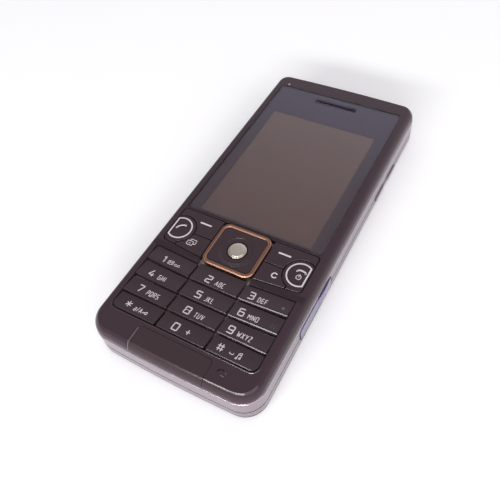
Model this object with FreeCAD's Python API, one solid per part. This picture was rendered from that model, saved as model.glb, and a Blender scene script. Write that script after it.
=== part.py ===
import FreeCAD, Part
import math
import os

V = FreeCAD.Vector

# Candybar camera phone, in millimetres. It lies on its back with the display up:
# X runs across it, +Y points to the earpiece end, Z runs through it, and the
# origin is the middle of its footprint.

# Overall shell
length = 107.0
width = 47.0
thickness = 12.5
top_corner = 4.0
bottom_corner = 6.0
end_bow = 0.35
shell_wall = 1.5
round_sides = 28
least_corner = 0.4
corner_share = 0.6

# Parting lines, measured up from the back
cover_rim = 1.7
lower_seam = 4.0
upper_seam = 8.9
back_round = 1.5
back_steps = 3
band_chamfer = 0.25
reveal_height = 0.3
reveal_depth = 0.3

# Front cover
nav_proud = 0.5
front_inset = 0.1
flank_radius = 3.6
flank_start = 0.25
face_wall = 1.1
lip_height = 0.6
lip_wall = 0.75
lip_side_end = 20.0
lip_end_side = 15.5
fit_gap = 0.1

# Display window, earpiece and display
window_side = 3.2
window_end = 6.4
window_proud = 0.1
window_thickness = 0.9
window_corner = 1.5
window_low_corner = 0.5
window_low_cut = 0.3
window_bevel = 0.15
display_side_mask = 3.5
display_top_mask = 12.4
display_bottom_mask = 1.0
display_thickness = 1.6
display_border = 1.6
display_low_border = 0.7
display_high_border = 1.2
display_step = 0.7
display_tray_wall = 0.25
driver_ledge = 2.4
gasket_thickness = 0.15
gasket_overlap = 0.2
chassis_sheet = 0.3
chassis_border = 1.5
chassis_end = 16.5
chassis_window = 12.0
chassis_foot = 2.0
ear_slot_width = 13.4
ear_slot_height = 1.4
ear_slot_drop = 3.2
ear_slot_sides = 16
earpiece_width = 13.0
earpiece_depth = 5.0
earpiece_step = 0.6
mesh_thickness = 0.15
mesh_rim = 0.8
sensor_radius = 0.5
sensor_flange = 0.5
sensor_side = 5.1
sensor_end = 5.4
sensor_sink = 0.05

# Keypad
chin = 7.7
row_pitch = 4.95
key_rows = 4
key_gap = 0.35
key_margin = 0.25
key_side = 3.25
groove_x = 7.0
groove_width = 0.6
key_low = 0.45
key_rise = 0.65
key_nose = 0.35
key_bevel = 0.22
key_corner = 0.35
field_corner = 1.7
fan_corner = 0.5
groove_corner = 2.0
top_row_fan = 0.7
second_row_fan = 0.4
crossbar = 1.0
press_gap = 0.35
function_gap = 0.25
function_drop = 1.0
function_fan = 1.2
function_low_corner = 1.2
function_high_corner = 0.8
function_tuck = 0.5
function_bevel = 0.12
nav_width = 14.8
nav_height = 13.6
nav_corner = 2.4
nav_stroke = 1.0
nav_outer_bevel = 0.25
nav_inner_bevel = 0.2
nav_pad_proud = 0.15
nav_pad_gap = 0.02
dish_radius = 4.9
dish_slope = 1.0
dish_depth = 0.25
nav_lift = 0.4
carrier_sheet = 0.15
carrier_ridge = 1.0
carrier_gap = 0.03
carrier_inset = 1.2
select_radius = 2.55
select_gap = 0.3
select_bevel = 0.35
select_foot = 0.05
select_sink = 0.02
ring_radius = 3.55
ring_stroke = 0.5
ring_lift = 0.08
ring_root = 0.2
ring_sides = 26
ring_margin = 0.22
ring_flat_inset = 0.25
ring_foot = 1.6
strap_width = 0.45

# Keypad mat, domes and board
mat_thickness = 0.7
nub_height = 0.25
nub_radius = 1.0
dome_sheet_thickness = 0.12
dome_radius = 1.9
dome_height = 0.22
dome_gap = 0.1
board_thickness = 0.8
board_side = 4.5
can_height = 1.3
can_width = 31.0
can_corner = 0.6
can_bevel = 0.25

# Battery well, cards and screws
cover_wall = 1.0
well_floor = 0.6
well_wall = 1.0
well_corner = 0.4
battery_side = 6.5
battery_gap = 0.2
antenna_zone = 7.0
card_bay = 18.0
camera_zone = 27.5
back_plate = 1.2
sim_width = 25.0
sim_height = 15.0
sim_thickness = 0.76
memory_width = 15.0
memory_height = 12.5
memory_thickness = 1.2
holder_wall = 0.25
contact_depth = 1.5
screw_side = 3.0
screw_shank = 0.7
screw_head = 1.4
screw_head_height = 0.5
boss_radius = 1.3
bore_gap = 0.08
low_screw_end = 13.5
high_screw_end = 45.5
contact_block = 13.0
contact_pitch = 4.0
contact_width = 2.2
contact_reach = 0.15
sim_bracket = 17.0
sim_corner = 3.0
memory_bracket = 13.0
tongue_width = 4.0
tongue_reach = 1.4
tongue_thickness = 0.5
tongue_low = 0.45
tongue_side = 9.0
thumb_drop = 9.0
thumb_radius = 18.0
thumb_width = 14.0
thumb_depth = 0.35

# Camera, flash, lens cover and loudspeaker
upper_plate = 1.9
track_end = 6.2
track_height = 13.6
track_side = 3.3
track_depth = 0.95
track_corner = 1.5
rail_corner = 0.5
rail_lip = 0.6
slide_gap = 0.1
slider_width = 22.5
slider_ridges = 5
slider_inset = 0.2
ridge_start = 3.0
ridge_width = 0.6
ridge_length = 7.0
ridge_low = 0.02
ridge_pitch = 1.5
camera_side = 15.5
lens_radius = 3.0
lens_bezel = 1.05
lens_seat = 0.35
lens_glass = 0.5
barrel_radius = 2.6
barrel_length = 2.5
aperture_radius = 1.3
aperture_depth = 0.8
module_size = 10.0
module_height = 5.3
module_corner = 0.8
module_gap = 0.02
focus_room = 0.6
flash_side = 6.9
flash_width = 3.2
flash_height = 8.4
flash_corner = 0.75
led_size = 2.2
led_spacing = 4.2
led_height = 0.8
led_lens_radius = 0.9
led_lens_rise = 0.15
speaker_radius = 6.5
speaker_height = 3.0
speaker_rim = 1.4
speaker_side = 12.0
speaker_rise = 1.2
grille_slots = 7
grille_drop = 0.8
grille_pitch = 1.5
grille_slot_width = 0.7
grille_slot_length = 2.8
motor_radius = 2.0
motor_length = 8.0
motor_side = 6.8
motor_end = 4.0
shaft_radius = 0.4
weight_radius = 1.8
weight_length = 3.0
weight_gap = 0.3

# Side keys, connector, microphone and antenna
side_proud = 0.4
shutter_end = 23.4
shutter_length = 17.6
shutter_low = 3.0
shutter_high = 6.8
shutter_nose = 8.0
shutter_corner = 1.1
shutter_pocket_corner = 1.2
shutter_base_proud = 0.1
side_key_gap = 0.15
rocker_end = 73.0
rocker_length = 15.2
rocker_low = 2.2
rocker_corner = 0.7
rocker_pocket_corner = 0.8
rocker_dip_radius = 12.0
rocker_dip = 0.2
rocker_proud = 0.3
side_pocket_depth = 0.5
flange_depth = 0.7
flange_reach = 0.8
rocker_swing = 0.4
connector_end = 22.4
connector_length = 9.6
connector_low = 4.7
connector_height = 3.0
connector_depth = 5.0
connector_pins = 6
connector_pitch = 1.3
connector_bevel = 0.3
connector_slot = 0.7
connector_slot_depth = 0.8
connector_slot_margin = 0.8
microphone_radius = 2.0
microphone_height = 1.4
microphone_side = 10.0
microphone_end = 4.2
crescent_radius = 1.25
crescent_width = 0.35
chin_plate_half = 10.4
chin_plate_end = 6.2
chin_plate_thickness = 0.45
chin_plate_gap = 0.1
chin_plate_corner = 1.15
chin_plate_rise = 0.45

# Levels and places worked out from the sizes above
half_length = length / 2
half_width = width / 2
face_z = thickness - nav_proud
face_under = face_z - face_wall
window_top_z = face_z + window_proud
window_low_z = window_top_z - window_thickness
flank_z = upper_seam + flank_start
key_base = face_under - press_gap - fit_gap
nav_base = key_base + nav_lift
nav_pad_z = face_z + nav_pad_proud
mat_top = key_base - press_gap
mat_low = mat_top - mat_thickness
sheet_top = mat_low - nub_height - dome_gap - dome_height
board_top = sheet_top - dome_sheet_thickness
board_low = board_top - board_thickness
can_low = board_low - can_height
well_top_z = can_low - fit_gap
well_ceiling = well_top_z - well_floor
battery_low = cover_wall + battery_gap
battery_high = well_ceiling - battery_gap

field_low = -half_length + chin
field_high = field_low + key_rows * row_pitch - key_gap
field_half = half_width - key_side
nav_low = field_high + crossbar
nav_high = nav_low + nav_height
nav_y = (nav_low + nav_high) / 2
window_low = nav_high + key_margin + strap_width + fit_gap
window_high = half_length - window_end
window_half = half_width - window_side
display_low = window_low + display_bottom_mask
display_high = window_high - display_top_mask
display_half = window_half - display_side_mask
display_z = window_low_z - gasket_thickness
ear_y = window_high - ear_slot_drop

well_low = -half_length + antenna_zone
cover_top = half_length - camera_zone
well_high = cover_top - well_wall / 2
bay_low = well_high - card_bay
battery_top = bay_low - battery_gap
battery_half = half_width - battery_side
well_half = battery_half + 3 * battery_gap
contact_xs = (-contact_pitch, 0, contact_pitch)
screw_x = half_width - screw_side
screw_ys = (-half_length + low_screw_end, half_length - high_screw_end)
track_high = half_length - track_end
track_low = track_high - track_height
track_half = half_width - track_side
camera_y = (track_low + track_high) / 2
slider_centre = track_half - slide_gap - slider_width / 2
camera_x = half_width - camera_side
flash_x = half_width - flash_side
speaker_x = -half_width + speaker_side
speaker_y = track_low + speaker_rise
microphone_x = half_width - microphone_side


def box(x0, x1, y0, y1, z0, z1):
    return Part.makeBox(x1 - x0, y1 - y0, z1 - z0, V(x0, y0, z0))


def many_sided(x, y, z, radius, sides):
    """A level many-sided outline about a point."""
    corners = [V(x + radius * math.cos(2 * math.pi * i / sides),
                 y + radius * math.sin(2 * math.pi * i / sides), z) for i in range(sides)]
    return Part.makePolygon(corners + corners[:1])


def post(x, y, z0, z1, radius, sides=8):
    """A many-sided post, for small round things that need few faces."""
    return Part.Face(many_sided(x, y, z0, radius, sides)).extrude(V(0, 0, z1 - z0))


def cut_box(x0, x1, y0, y1, z0, z1, cut):
    """A box with its four upright corners cut off."""
    corners = [(x0 + cut, y0), (x1 - cut, y0), (x1, y0 + cut), (x1, y1 - cut),
               (x1 - cut, y1), (x0 + cut, y1), (x0, y1 - cut), (x0, y0 + cut)]
    return plate(corners, [0] * 8, z0, z1)


def at_screws(make):
    """The shape that make gives for each of the four case screws."""
    return [make(side * screw_x, y) for side in (-1, 1) for y in screw_ys]


def boss_notches():
    """Notches that clear the screw bosses at the sides of a board or sheet."""
    reach = boss_radius + 0.2
    return at_screws(lambda x, y: box(x - reach, x + reach, y - reach, y + reach, 0, thickness))


def rounded_wire(points, radii):
    """A closed outline in the XY plane, each corner rounded by its own radius."""
    corners = [V(x, y, 0) for x, y in points]
    arcs = []
    for index, corner in enumerate(corners):
        before = (corners[index - 1] - corner).normalize()
        after = (corners[(index + 1) % len(corners)] - corner).normalize()
        half_angle = before.getAngle(after) / 2
        radius = radii[index]
        reach = radius / math.tan(half_angle)
        middle = (before + after).normalize() * (radius / math.sin(half_angle) - radius)
        arcs.append((corner + before * reach, corner + middle, corner + after * reach, radius))
    edges = []
    for index, (start, middle, end, radius) in enumerate(arcs):
        if radius > 0:
            edges.append(Part.Arc(start, middle, end).toShape())
        following = arcs[(index + 1) % len(arcs)][0]
        if end.distanceToPoint(following) > 1e-6:
            edges.append(Part.LineSegment(end, following).toShape())
    return Part.Wire(edges)


def plate(points, radii, z0, z1):
    """A flat plate of a rounded outline between two levels."""
    face = Part.Face(rounded_wire(points, radii))
    face.translate(V(0, 0, z0))
    return face.extrude(V(0, 0, z1 - z0))


def rounded_box(x0, x1, y0, y1, z0, z1, radius):
    points = [(x0, y0), (x1, y0), (x1, y1), (x0, y1)]
    return plate(points, [radius] * 4, z0, z1)


def end_curve(sign, inset, corner):
    """Centre and tangent points of one bowed end with its two corner arcs."""
    chord = half_width - corner
    bow_radius = (chord ** 2 + end_bow ** 2) / (2 * end_bow)
    centre_y = sign * (half_length - bow_radius)
    radius = max(corner - inset, least_corner)
    corner_x = half_width - inset - radius
    reach = bow_radius - inset - radius
    corner_y = centre_y + sign * math.sqrt(reach ** 2 - corner_x ** 2)
    lean = math.atan2(corner_x, abs(corner_y - centre_y))
    touch_x = corner_x + radius * math.sin(lean)
    touch_y = corner_y + sign * radius * math.cos(lean)
    middle = (math.pi / 2 + lean) / 2
    middle_x = corner_x + radius * math.sin(middle)
    middle_y = corner_y + sign * radius * math.cos(middle)
    return corner_y, (touch_x, touch_y), (middle_x, middle_y)


def shell_wire(inset):
    """The plan outline of the phone, drawn in by an inset all round."""
    edge_x = half_width - inset
    top_y, top_touch, top_middle = end_curve(1, inset, top_corner)
    low_y, low_touch, low_middle = end_curve(-1, inset, bottom_corner)
    tip = half_length - inset
    parts = [
        Part.LineSegment(V(edge_x, low_y, 0), V(edge_x, top_y, 0)),
        Part.Arc(V(edge_x, top_y, 0), V(*top_middle, 0), V(*top_touch, 0)),
        Part.Arc(V(*top_touch, 0), V(0, tip, 0), V(-top_touch[0], top_touch[1], 0)),
        Part.Arc(V(-top_touch[0], top_touch[1], 0), V(-top_middle[0], top_middle[1], 0),
                 V(-edge_x, top_y, 0)),
        Part.LineSegment(V(-edge_x, top_y, 0), V(-edge_x, low_y, 0)),
        Part.Arc(V(-edge_x, low_y, 0), V(-low_middle[0], low_middle[1], 0),
                 V(-low_touch[0], low_touch[1], 0)),
        Part.Arc(V(-low_touch[0], low_touch[1], 0), V(0, -tip, 0), V(*low_touch, 0)),
        Part.Arc(V(*low_touch, 0), V(*low_middle, 0), V(edge_x, low_y, 0)),
    ]
    return Part.Wire([part.toShape() for part in parts])


def shell_prism(inset, z0, z1):
    face = Part.Face(shell_wire(inset))
    face.translate(V(0, 0, z0))
    return face.extrude(V(0, 0, z1 - z0))


def inner_room(inset, z0, z1):
    """The room inside the walls, its corners cut to follow the outline's."""
    half = half_width - inset
    tall = half_length - inset - end_bow
    return cut_box(-half, half, -tall, tall, z0, z1, (bottom_corner - inset) * corner_share)


def reveal(z0, z1):
    """The shadow groove that runs round the shell along a parting line."""
    return shell_prism(-1, z0, z1).cut(shell_prism(reveal_depth, z0, z1))


def edges_at(shape, z):
    """The outline edges of a prism that lie in one level."""
    return [edge for edge in shape.Edges
            if abs(edge.BoundBox.ZMin - z) < 1e-4 and abs(edge.BoundBox.ZMax - z) < 1e-4]


def mirrored(shape):
    return shape.mirror(V(0, 0, 0), V(1, 0, 0))


def front_dome(depth):
    """The front cover's outer form: an upright rim, a rolled flank and a flat
    face that meets the flank in a crisp edge. A depth draws it in for inner skins."""
    radius = min(flank_radius, top_corner - front_inset - fit_gap) - depth
    crown = flank_z + radius
    dome = shell_prism(front_inset + depth, upper_seam, crown)
    dome = dome.makeFillet(radius, edges_at(dome, crown))
    above = box(-width, width, -length, length, face_z - depth, crown + 1)
    return dome.cut(above)


def rounded_back():
    """The back's outer form up to the lower seam. Its edge rolls under in short
    bevels along a quarter circle."""
    outlines = []
    for step in range(back_steps + 1):
        turn = math.pi / 2 * step / back_steps
        outline = shell_wire(back_round * (1 - math.sin(turn)))
        outline.translate(V(0, 0, back_round * (1 - math.cos(turn))))
        outlines.append(outline)
    roll = Part.makeLoft(outlines, True, True)
    return shell_prism(0, back_round, lower_seam).fuse(roll).removeSplitter()


def chin_outline(grow):
    left = -chin_plate_half - grow
    right = chin_plate_half + grow
    high = -half_length + chin_plate_end + grow
    low = -length
    return [(left, low), (right, low), (right, high), (left, high)]


def microphone_slot(z0, z1):
    """A small crescent cut through the chin above the microphone."""
    x = microphone_x
    y = -half_length + microphone_end
    outer = post(x, y, z0, z1, crescent_radius, 20)
    inner = post(x, y - crescent_width / 2, z0, z1, crescent_radius - crescent_width / 2, 20)
    reach = 2 * crescent_radius
    return outer.cut(inner).common(box(x - reach, x + reach, y + crescent_width / 2, y + reach, z0, z1))


def window_opening(z0, z1):
    side = window_half + fit_gap
    low = window_low - fit_gap
    high = window_high + fit_gap
    radii = [window_low_corner + fit_gap] * 2 + [window_corner + fit_gap] * 2
    return plate([(-side, low), (side, low), (side, high), (-side, high)], radii, z0, z1)


def ear_slot(z0, z1):
    """The earpiece slot in the window, with round ends."""
    tall = ear_slot_height / 2
    half = ear_slot_width / 2 - tall
    slot = box(-half, half, ear_y - tall, ear_y + tall, z0, z1)
    return slot.fuse([post(x, ear_y, z0, z1, tall, ear_slot_sides) for x in (-half, half)])


def ear_slot_cut(z0, z1):
    """The slot's way through the cover, under the window."""
    half = ear_slot_width / 2
    tall = ear_slot_height / 2
    return cut_box(-half, half, ear_y - tall, ear_y + tall, z0, z1, tall * corner_share)


def function_low(x, grow):
    """Lower edge of the function keys, which climbs towards the sides."""
    run = (x - nav_width / 2) / (field_half - nav_width / 2)
    return nav_low + function_drop + function_fan * run - grow


def function_side(grow, z0, z1):
    """The field of the function keys on the right of the navigation key."""
    inner = nav_width / 2 - function_tuck
    outer = field_half + grow
    points = [(inner, function_low(inner, grow)), (outer, function_low(outer, grow)),
              (outer, nav_high + grow), (inner, nav_high + grow)]
    return plate(points, [0, function_low_corner, function_high_corner, 0], z0, z1)


def nav_plate(grow, z0, z1):
    half = nav_width / 2 + grow
    return rounded_box(-half, half, nav_low - grow, nav_high + grow, z0, z1, nav_corner + grow)


def nav_opening(z0, z1):
    """The opening for the navigation key, which runs on into the number keys'."""
    half = nav_width / 2 + key_margin
    return box(-half, half, field_high, nav_high + key_margin, z0, z1)


def fan_angle(row):
    """Rise of an outer key from the groove to the side, row 0 being the top one."""
    fans = {0: top_row_fan, 1: second_row_fan}
    return math.atan2(fans.get(row, 0.0), field_half - groove_x)


def number_opening(z0, z1):
    low = field_low - key_margin
    high = field_high + key_margin
    half = field_half + key_margin
    top_fan = top_row_fan
    points = [(-half, low), (half, low), (half, high + top_fan), (groove_x, high),
              (-groove_x, high), (-half, high + top_fan)]
    radii = [field_corner + key_margin] * 2 + [fan_corner, groove_corner, groove_corner, fan_corner]
    return plate(points, radii, z0, z1)


def lips(gap):
    """The lips that centre the front cover in the band, one inside each wall. A gap
    widens them for the rebates that take them."""
    outer = shell_wall + fit_gap - lip_wall - gap
    inner = shell_wall + fit_gap
    low = upper_seam - lip_height - gap
    high = upper_seam + lip_height / 2
    bow = end_bow / 2
    shapes = []
    for side in (-1, 1):
        xs = sorted((side * (half_width - inner), side * (half_width - outer)))
        ys = sorted((side * (half_length - inner - bow), side * (half_length - outer - bow)))
        along = half_length - lip_side_end + gap
        across = half_width - lip_end_side + gap
        shapes.append(box(xs[0], xs[1], -along, along, low, high))
        shapes.append(box(-across, across, ys[0], ys[1], low, high))
    return shapes


def front_cover():
    cover = front_dome(0)
    cavity = inner_room(shell_wall + fit_gap, upper_seam - 1, face_under)
    cover = cover.cut(cavity)
    posts = at_screws(lambda x, y: post(x, y, well_top_z + fit_gap, face_under + 0.2, boss_radius))
    cover = cover.fuse(lips(0) + posts)
    cover = cover.cut(at_screws(lambda x, y: post(x, y, well_top_z - 1, upper_seam + 0.6,
                                                  screw_shank + bore_gap)))
    half, low, high = display_outline()
    rim = box(-half - fit_gap, half + fit_gap, low - fit_gap, high + fit_gap,
              face_under - 1, face_z + 1)
    cuts = [
        window_opening(window_low_z, face_z + 1),
        rim,
        ear_slot_cut(face_under - 1, face_z),
        number_opening(face_under - 1, face_z + 1),
        function_side(key_margin, face_under - 1, face_z + 1),
        mirrored(function_side(key_margin, face_under - 1, face_z + 1)),
        nav_opening(face_under - 1, face_z + 1),
        post(-half_width + sensor_side, half_length - sensor_end, face_under - 1, face_z + 1,
             sensor_radius + sensor_sink, 16),
        microphone_slot(face_under - 1, face_z + 1),
    ]
    corner = chin_plate_corner + chin_plate_gap / 2
    chin_cut = plate(chin_outline(chin_plate_gap), [0, 0, corner, corner], upper_seam - 1, face_z + 1)
    cuts.append(chin_cut.cut(front_dome(chin_plate_thickness + chin_plate_gap / 2)).common(
        box(-width, width, -length, 0, upper_seam + chin_plate_rise - chin_plate_gap / 2, face_z + 1)))
    return cover.cut(cuts)


def chin_plate():
    """A thin gloss inlay that runs over the chin and down the rolled end."""
    skin = front_dome(0).cut(front_dome(chin_plate_thickness))
    radii = [0, 0, chin_plate_corner, chin_plate_corner]
    chin_area = plate(chin_outline(0), radii, upper_seam + chin_plate_rise, face_z + 1)
    return skin.common(chin_area)


def display_window():
    """The window, bevelled along its sides and its upper end. The lower end, which
    meets the keys, is left square."""
    side = window_half
    near = window_low + window_low_cut
    points = [(window_low_cut - side, window_low), (side - window_low_cut, window_low), (side, near),
              (side, window_high), (-side, window_high), (-side, near)]
    glass = plate(points, [0, 0, 0, window_corner, window_corner, 0], window_low_z, window_top_z)
    rim = [edge for edge in edges_at(glass, window_top_z) if edge.BoundBox.YMax > near + window_low_cut]
    glass = glass.makeChamfer(window_bevel, rim)
    return glass.cut(ear_slot(window_low_z - 1, window_top_z + 1))


def earpiece_mesh():
    half = ear_slot_width / 2 + mesh_rim
    tall = ear_slot_height / 2 + mesh_rim
    return cut_box(-half, half, ear_y - tall, ear_y + tall, face_under - mesh_thickness, face_under,
                   tall / 2)


def sensor_lens():
    x = -half_width + sensor_side
    y = half_length - sensor_end
    stem = post(x, y, face_under, face_z - sensor_sink, sensor_radius, 16)
    foot = post(x, y, face_under - 0.3, face_under, sensor_radius + sensor_flange)
    return stem.fuse(foot)


def display_outline():
    """Half width, lower and upper end of the display panel."""
    return (display_half + display_border, display_low - display_low_border,
            display_high + display_high_border)


def display_module():
    """The display panel in its tray, with the driver's ledge at its upper end."""
    half, low, high = display_outline()
    base = display_z - display_thickness
    wall = display_tray_wall
    panel = box(-half, half, low, high, base, display_z)
    ledge = box(-display_half, display_half, high - fit_gap, high + driver_ledge, base,
                display_z - display_step)
    tray = box(-half - wall, half + wall, low - wall, high - driver_ledge, base, face_under - fit_gap)
    return panel.fuse([ledge, tray]).removeSplitter()


def display_gasket():
    """A foam frame that seals the display to the window."""
    half, low, high = display_outline()
    inset = gasket_overlap
    outer = box(-half + inset, half - inset, low + inset / 4, high - inset, display_z, window_low_z)
    inner = box(-display_half - inset, display_half + inset, display_low - inset, display_high + inset,
                display_z - 1, window_low_z + 1)
    return outer.cut(inner)


def chassis_plate():
    """A pressed steel plate between the display and the board."""
    top = display_z - display_thickness
    half = display_half + chassis_border
    sheet = cut_box(-half, half, display_low - display_low_border, half_length - chassis_end,
                    top - chassis_sheet, top, chassis_border)
    middle = (display_low + display_high) / 2
    windows = []
    feet = []
    for side in (-1, 1):
        x = side * display_half / 2
        size = chassis_window / 2
        windows.append(box(x - size, x + size, middle - size, middle + size, top - 1, top + 1))
        x = side * (display_half - chassis_foot)
        size = chassis_foot / 2
        for y in (display_low + chassis_foot, display_high - chassis_foot):
            feet.append(box(x - size, x + size, y - size, y + size, board_top, top - chassis_sheet / 2))
    return sheet.cut(windows).fuse(feet).removeSplitter()


def side_pocket(y0, y1, z0, z1, radius, grow):
    """A rounded pocket cut through the right wall from outside."""
    face = Part.Face(rounded_wire([(y0 - grow, z0 - grow), (y1 + grow, z0 - grow),
                                   (y1 + grow, z1 + grow), (y0 - grow, z1 + grow)],
                                  [radius + grow] * 4))
    face.rotate(V(0, 0, 0), V(1, 1, 1), 120)
    face.translate(V(half_width - shell_wall - side_pocket_depth, 0, 0))
    return face.extrude(V(shell_wall + side_pocket_depth + 2, 0, 0))


def shutter_span():
    low = -half_length + shutter_end
    return low, low + shutter_length


def rocker_span():
    low = -half_length + rocker_end
    return low, low + rocker_length


def connector_span():
    low = -half_length + connector_end
    return low, low + connector_length


def mid_frame():
    """The silver band with the openings for the side keys and the connector."""
    band = shell_prism(0, lower_seam, upper_seam)
    band = band.makeChamfer(band_chamfer, edges_at(band, upper_seam))
    band = band.cut([shell_prism(shell_wall, lower_seam - 1, upper_seam + 1),
                     reveal(lower_seam, lower_seam + reveal_height)] + lips(fit_gap))
    y0, y1 = shutter_span()
    band = band.cut(side_pocket(y0, y1, shutter_low, shutter_high, shutter_pocket_corner, side_key_gap))
    low, high = connector_span()
    slot = box(-half_width - 1, -half_width + shell_wall + 1, low - fit_gap, high + fit_gap,
               connector_low - fit_gap, connector_low + connector_height + fit_gap)
    return band.cut(slot)


def well_box(grow, z0, z1):
    return cut_box(-well_half - grow, well_half + grow, well_low - grow, well_high + grow,
                   z0, z1, well_corner + grow / 2)


def track_cut():
    """The lens cover's recess, undercut along both long sides to hold it."""
    mouth = rounded_box(-track_half, track_half, track_low, track_high, -1, track_depth, track_corner)
    rails = cut_box(-track_half, track_half, track_low - rail_lip, track_high + rail_lip,
                    track_depth / 2, track_depth, rail_corner)
    return mouth.fuse(rails)


def grille(z0, z1):
    slots = []
    for index in range(grille_slots):
        x = speaker_x + (index - (grille_slots - 1) / 2) * grille_pitch
        half = grille_slot_width / 2
        y = track_low - rail_lip - grille_drop - grille_slot_length / 2
        slots.append(cut_box(x - half, x + half, y - grille_slot_length / 2,
                             y + grille_slot_length / 2, z0, z1, half * 0.6))
    return slots


def back_housing():
    """The rear housing: the camera end of the back, the lower side wall, and the
    battery well with its screw bosses."""
    outer = rounded_back()
    camera_end = outer.common(box(-width, width, cover_top, length, 0, lower_seam))
    lower = outer.common(box(-width, width, -length, cover_top, cover_rim, lower_seam))
    hollow_low = inner_room(shell_wall, cover_rim + back_plate, lower_seam + 1)
    hollow_high = inner_room(shell_wall, upper_plate, lower_seam + 1).common(
        box(-width, width, cover_top + well_wall, length, 0, lower_seam + 1))
    housing = camera_end.fuse(lower).cut([hollow_low, hollow_high])
    bosses = at_screws(lambda x, y: post(x, y, cover_rim + 0.2, well_top_z, boss_radius))
    housing = housing.fuse([well_box(well_wall, cover_rim, well_top_z)] + bosses)
    cuts = [well_box(0, -1, well_ceiling), track_cut()]
    cuts += at_screws(lambda x, y: post(x, y, 0, well_top_z + 1, screw_shank + 2 * bore_gap))
    cuts += at_screws(lambda x, y: post(x, y, 0, cover_rim + screw_head_height + fit_gap,
                                        screw_head + 2 * bore_gap))
    cuts.append(lens_post(0, upper_plate + 1, lens_radius + lens_bezel + fit_gap))
    half = flash_width / 2 + fit_gap
    tall = flash_height / 2 + fit_gap
    cuts.append(cut_box(flash_x - half, flash_x + half, camera_y - tall, camera_y + tall,
                        0, upper_plate + 1, flash_corner + fit_gap / 2))
    cuts += grille(-1, upper_plate + 1)
    cuts += tongues(fit_gap)
    y0, y1 = shutter_span()
    cuts.append(side_pocket(y0, y1, shutter_low, shutter_high, shutter_pocket_corner, side_key_gap))
    y0, y1 = rocker_span()
    cuts.append(side_pocket(y0, y1, rocker_low, lower_seam + 1, rocker_pocket_corner, side_key_gap))
    return housing.cut(cuts)


def tongues(gap):
    """The battery cover's three tongues, or with a gap the slots that take them."""
    half = tongue_width / 2 + gap
    centres = [side * (half_width - tongue_side) for side in (-1, 0, 1)]
    return [box(x - half, x + half, cover_top - 1, cover_top + tongue_reach + gap,
                tongue_low - gap, tongue_low + tongue_thickness + gap) for x in centres]


def battery_cover():
    """The removable back: a dished plate whose rim closes the lower seam, with
    three tongues that tuck under the camera end and a scoop for the thumb."""
    cover = rounded_back().common(box(-width, width, -length, cover_top - fit_gap, 0, cover_rim))
    hollow = inner_room(shell_wall, cover_wall, cover_rim + 1)
    thumb = Part.makeCylinder(thumb_radius, thumb_width, V(
        -thumb_width / 2, cover_top - thumb_drop, thumb_depth - thumb_radius), V(1, 0, 0))
    cover = cover.cut([hollow, thumb, reveal(cover_rim - reveal_height, cover_rim + 1)])
    return cover.fuse(tongues(0)).removeSplitter()


def lens_cover():
    """The sliding cover of the lens, held in the track by a lip on each side."""
    half = slider_width / 2
    high = track_depth - slide_gap
    runner = cut_box(slider_centre - half, slider_centre + half,
                     track_low - rail_lip + slide_gap, track_high + rail_lip - slide_gap,
                     track_depth / 2 + slide_gap, high, rail_lip)
    face = rounded_box(slider_centre - half, slider_centre + half, track_low + slide_gap,
                       track_high - slide_gap, slider_inset, high, track_corner - slide_gap)
    ridges = []
    for index in range(slider_ridges):
        x = slider_centre - half + ridge_start + index * ridge_pitch
        ridges.append(box(x - ridge_width / 2, x + ridge_width / 2, camera_y - ridge_length / 2,
                          camera_y + ridge_length / 2, ridge_low, slider_inset + fit_gap))
    return face.fuse([runner] + ridges).removeSplitter()


def lens_post(z0, z1, radius):
    """A round form on the camera's axis."""
    return post(camera_x, camera_y, z0, z1, radius, round_sides)


def camera_ring():
    """The ring round the camera's window, with the seat that holds the glass."""
    ring = lens_post(track_depth, upper_plate - 0.05, lens_radius + lens_bezel)
    seat = lens_post(0, upper_plate + 1, lens_radius - lens_seat)
    pocket = lens_post(0, track_depth + lens_glass + fit_gap, lens_radius + 0.02)
    return ring.cut([seat, pocket])


def camera_window():
    low = track_depth + fit_gap
    return lens_post(low, low + lens_glass, lens_radius)


def camera_module():
    """The camera's body with the open bore of its focus drive."""
    half = module_size / 2
    block = cut_box(camera_x - half, camera_x + half, camera_y - half, camera_y + half,
                    upper_plate + module_gap, upper_plate + module_height, module_corner)
    bore = lens_post(0, upper_plate + barrel_length + focus_room, barrel_radius + bore_gap)
    return block.cut(bore)


def lens_barrel():
    """The lens barrel with its stepped front aperture."""
    low = upper_plate + 0.05
    barrel = lens_post(low, low + barrel_length, barrel_radius)
    return barrel.cut(lens_post(0, low + aperture_depth, aperture_radius))


def flash_window():
    half = flash_width / 2
    tall = flash_height / 2
    return cut_box(flash_x - half, flash_x + half, camera_y - tall, camera_y + tall,
                   track_depth + fit_gap / 2, upper_plate - 2 * fit_gap, flash_corner)


def flash_leds():
    """Two flash lamps, one behind each half of the window."""
    lamps = []
    for side in (-1, 1):
        y = camera_y + side * led_spacing / 2
        half = led_size / 2
        base = box(flash_x - half, flash_x + half, y - half, y + half,
                   upper_plate, upper_plate + led_height)
        lens = post(flash_x, y, upper_plate - led_lens_rise, upper_plate + fit_gap, led_lens_radius)
        lamps.append(base.fuse(lens))
    return Part.makeCompound(lamps)


def loudspeaker():
    low = upper_plate
    middle = low + speaker_height * 0.4
    core = speaker_radius - speaker_rim
    basket = post(speaker_x, speaker_y, low, middle, speaker_radius, 12)
    magnet = post(speaker_x, speaker_y, middle - 0.1, low + speaker_height, core, 12)
    dish = post(speaker_x, speaker_y, low - 1, low + speaker_height / 6, core, 12)
    return basket.fuse(magnet).cut(dish)


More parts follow.
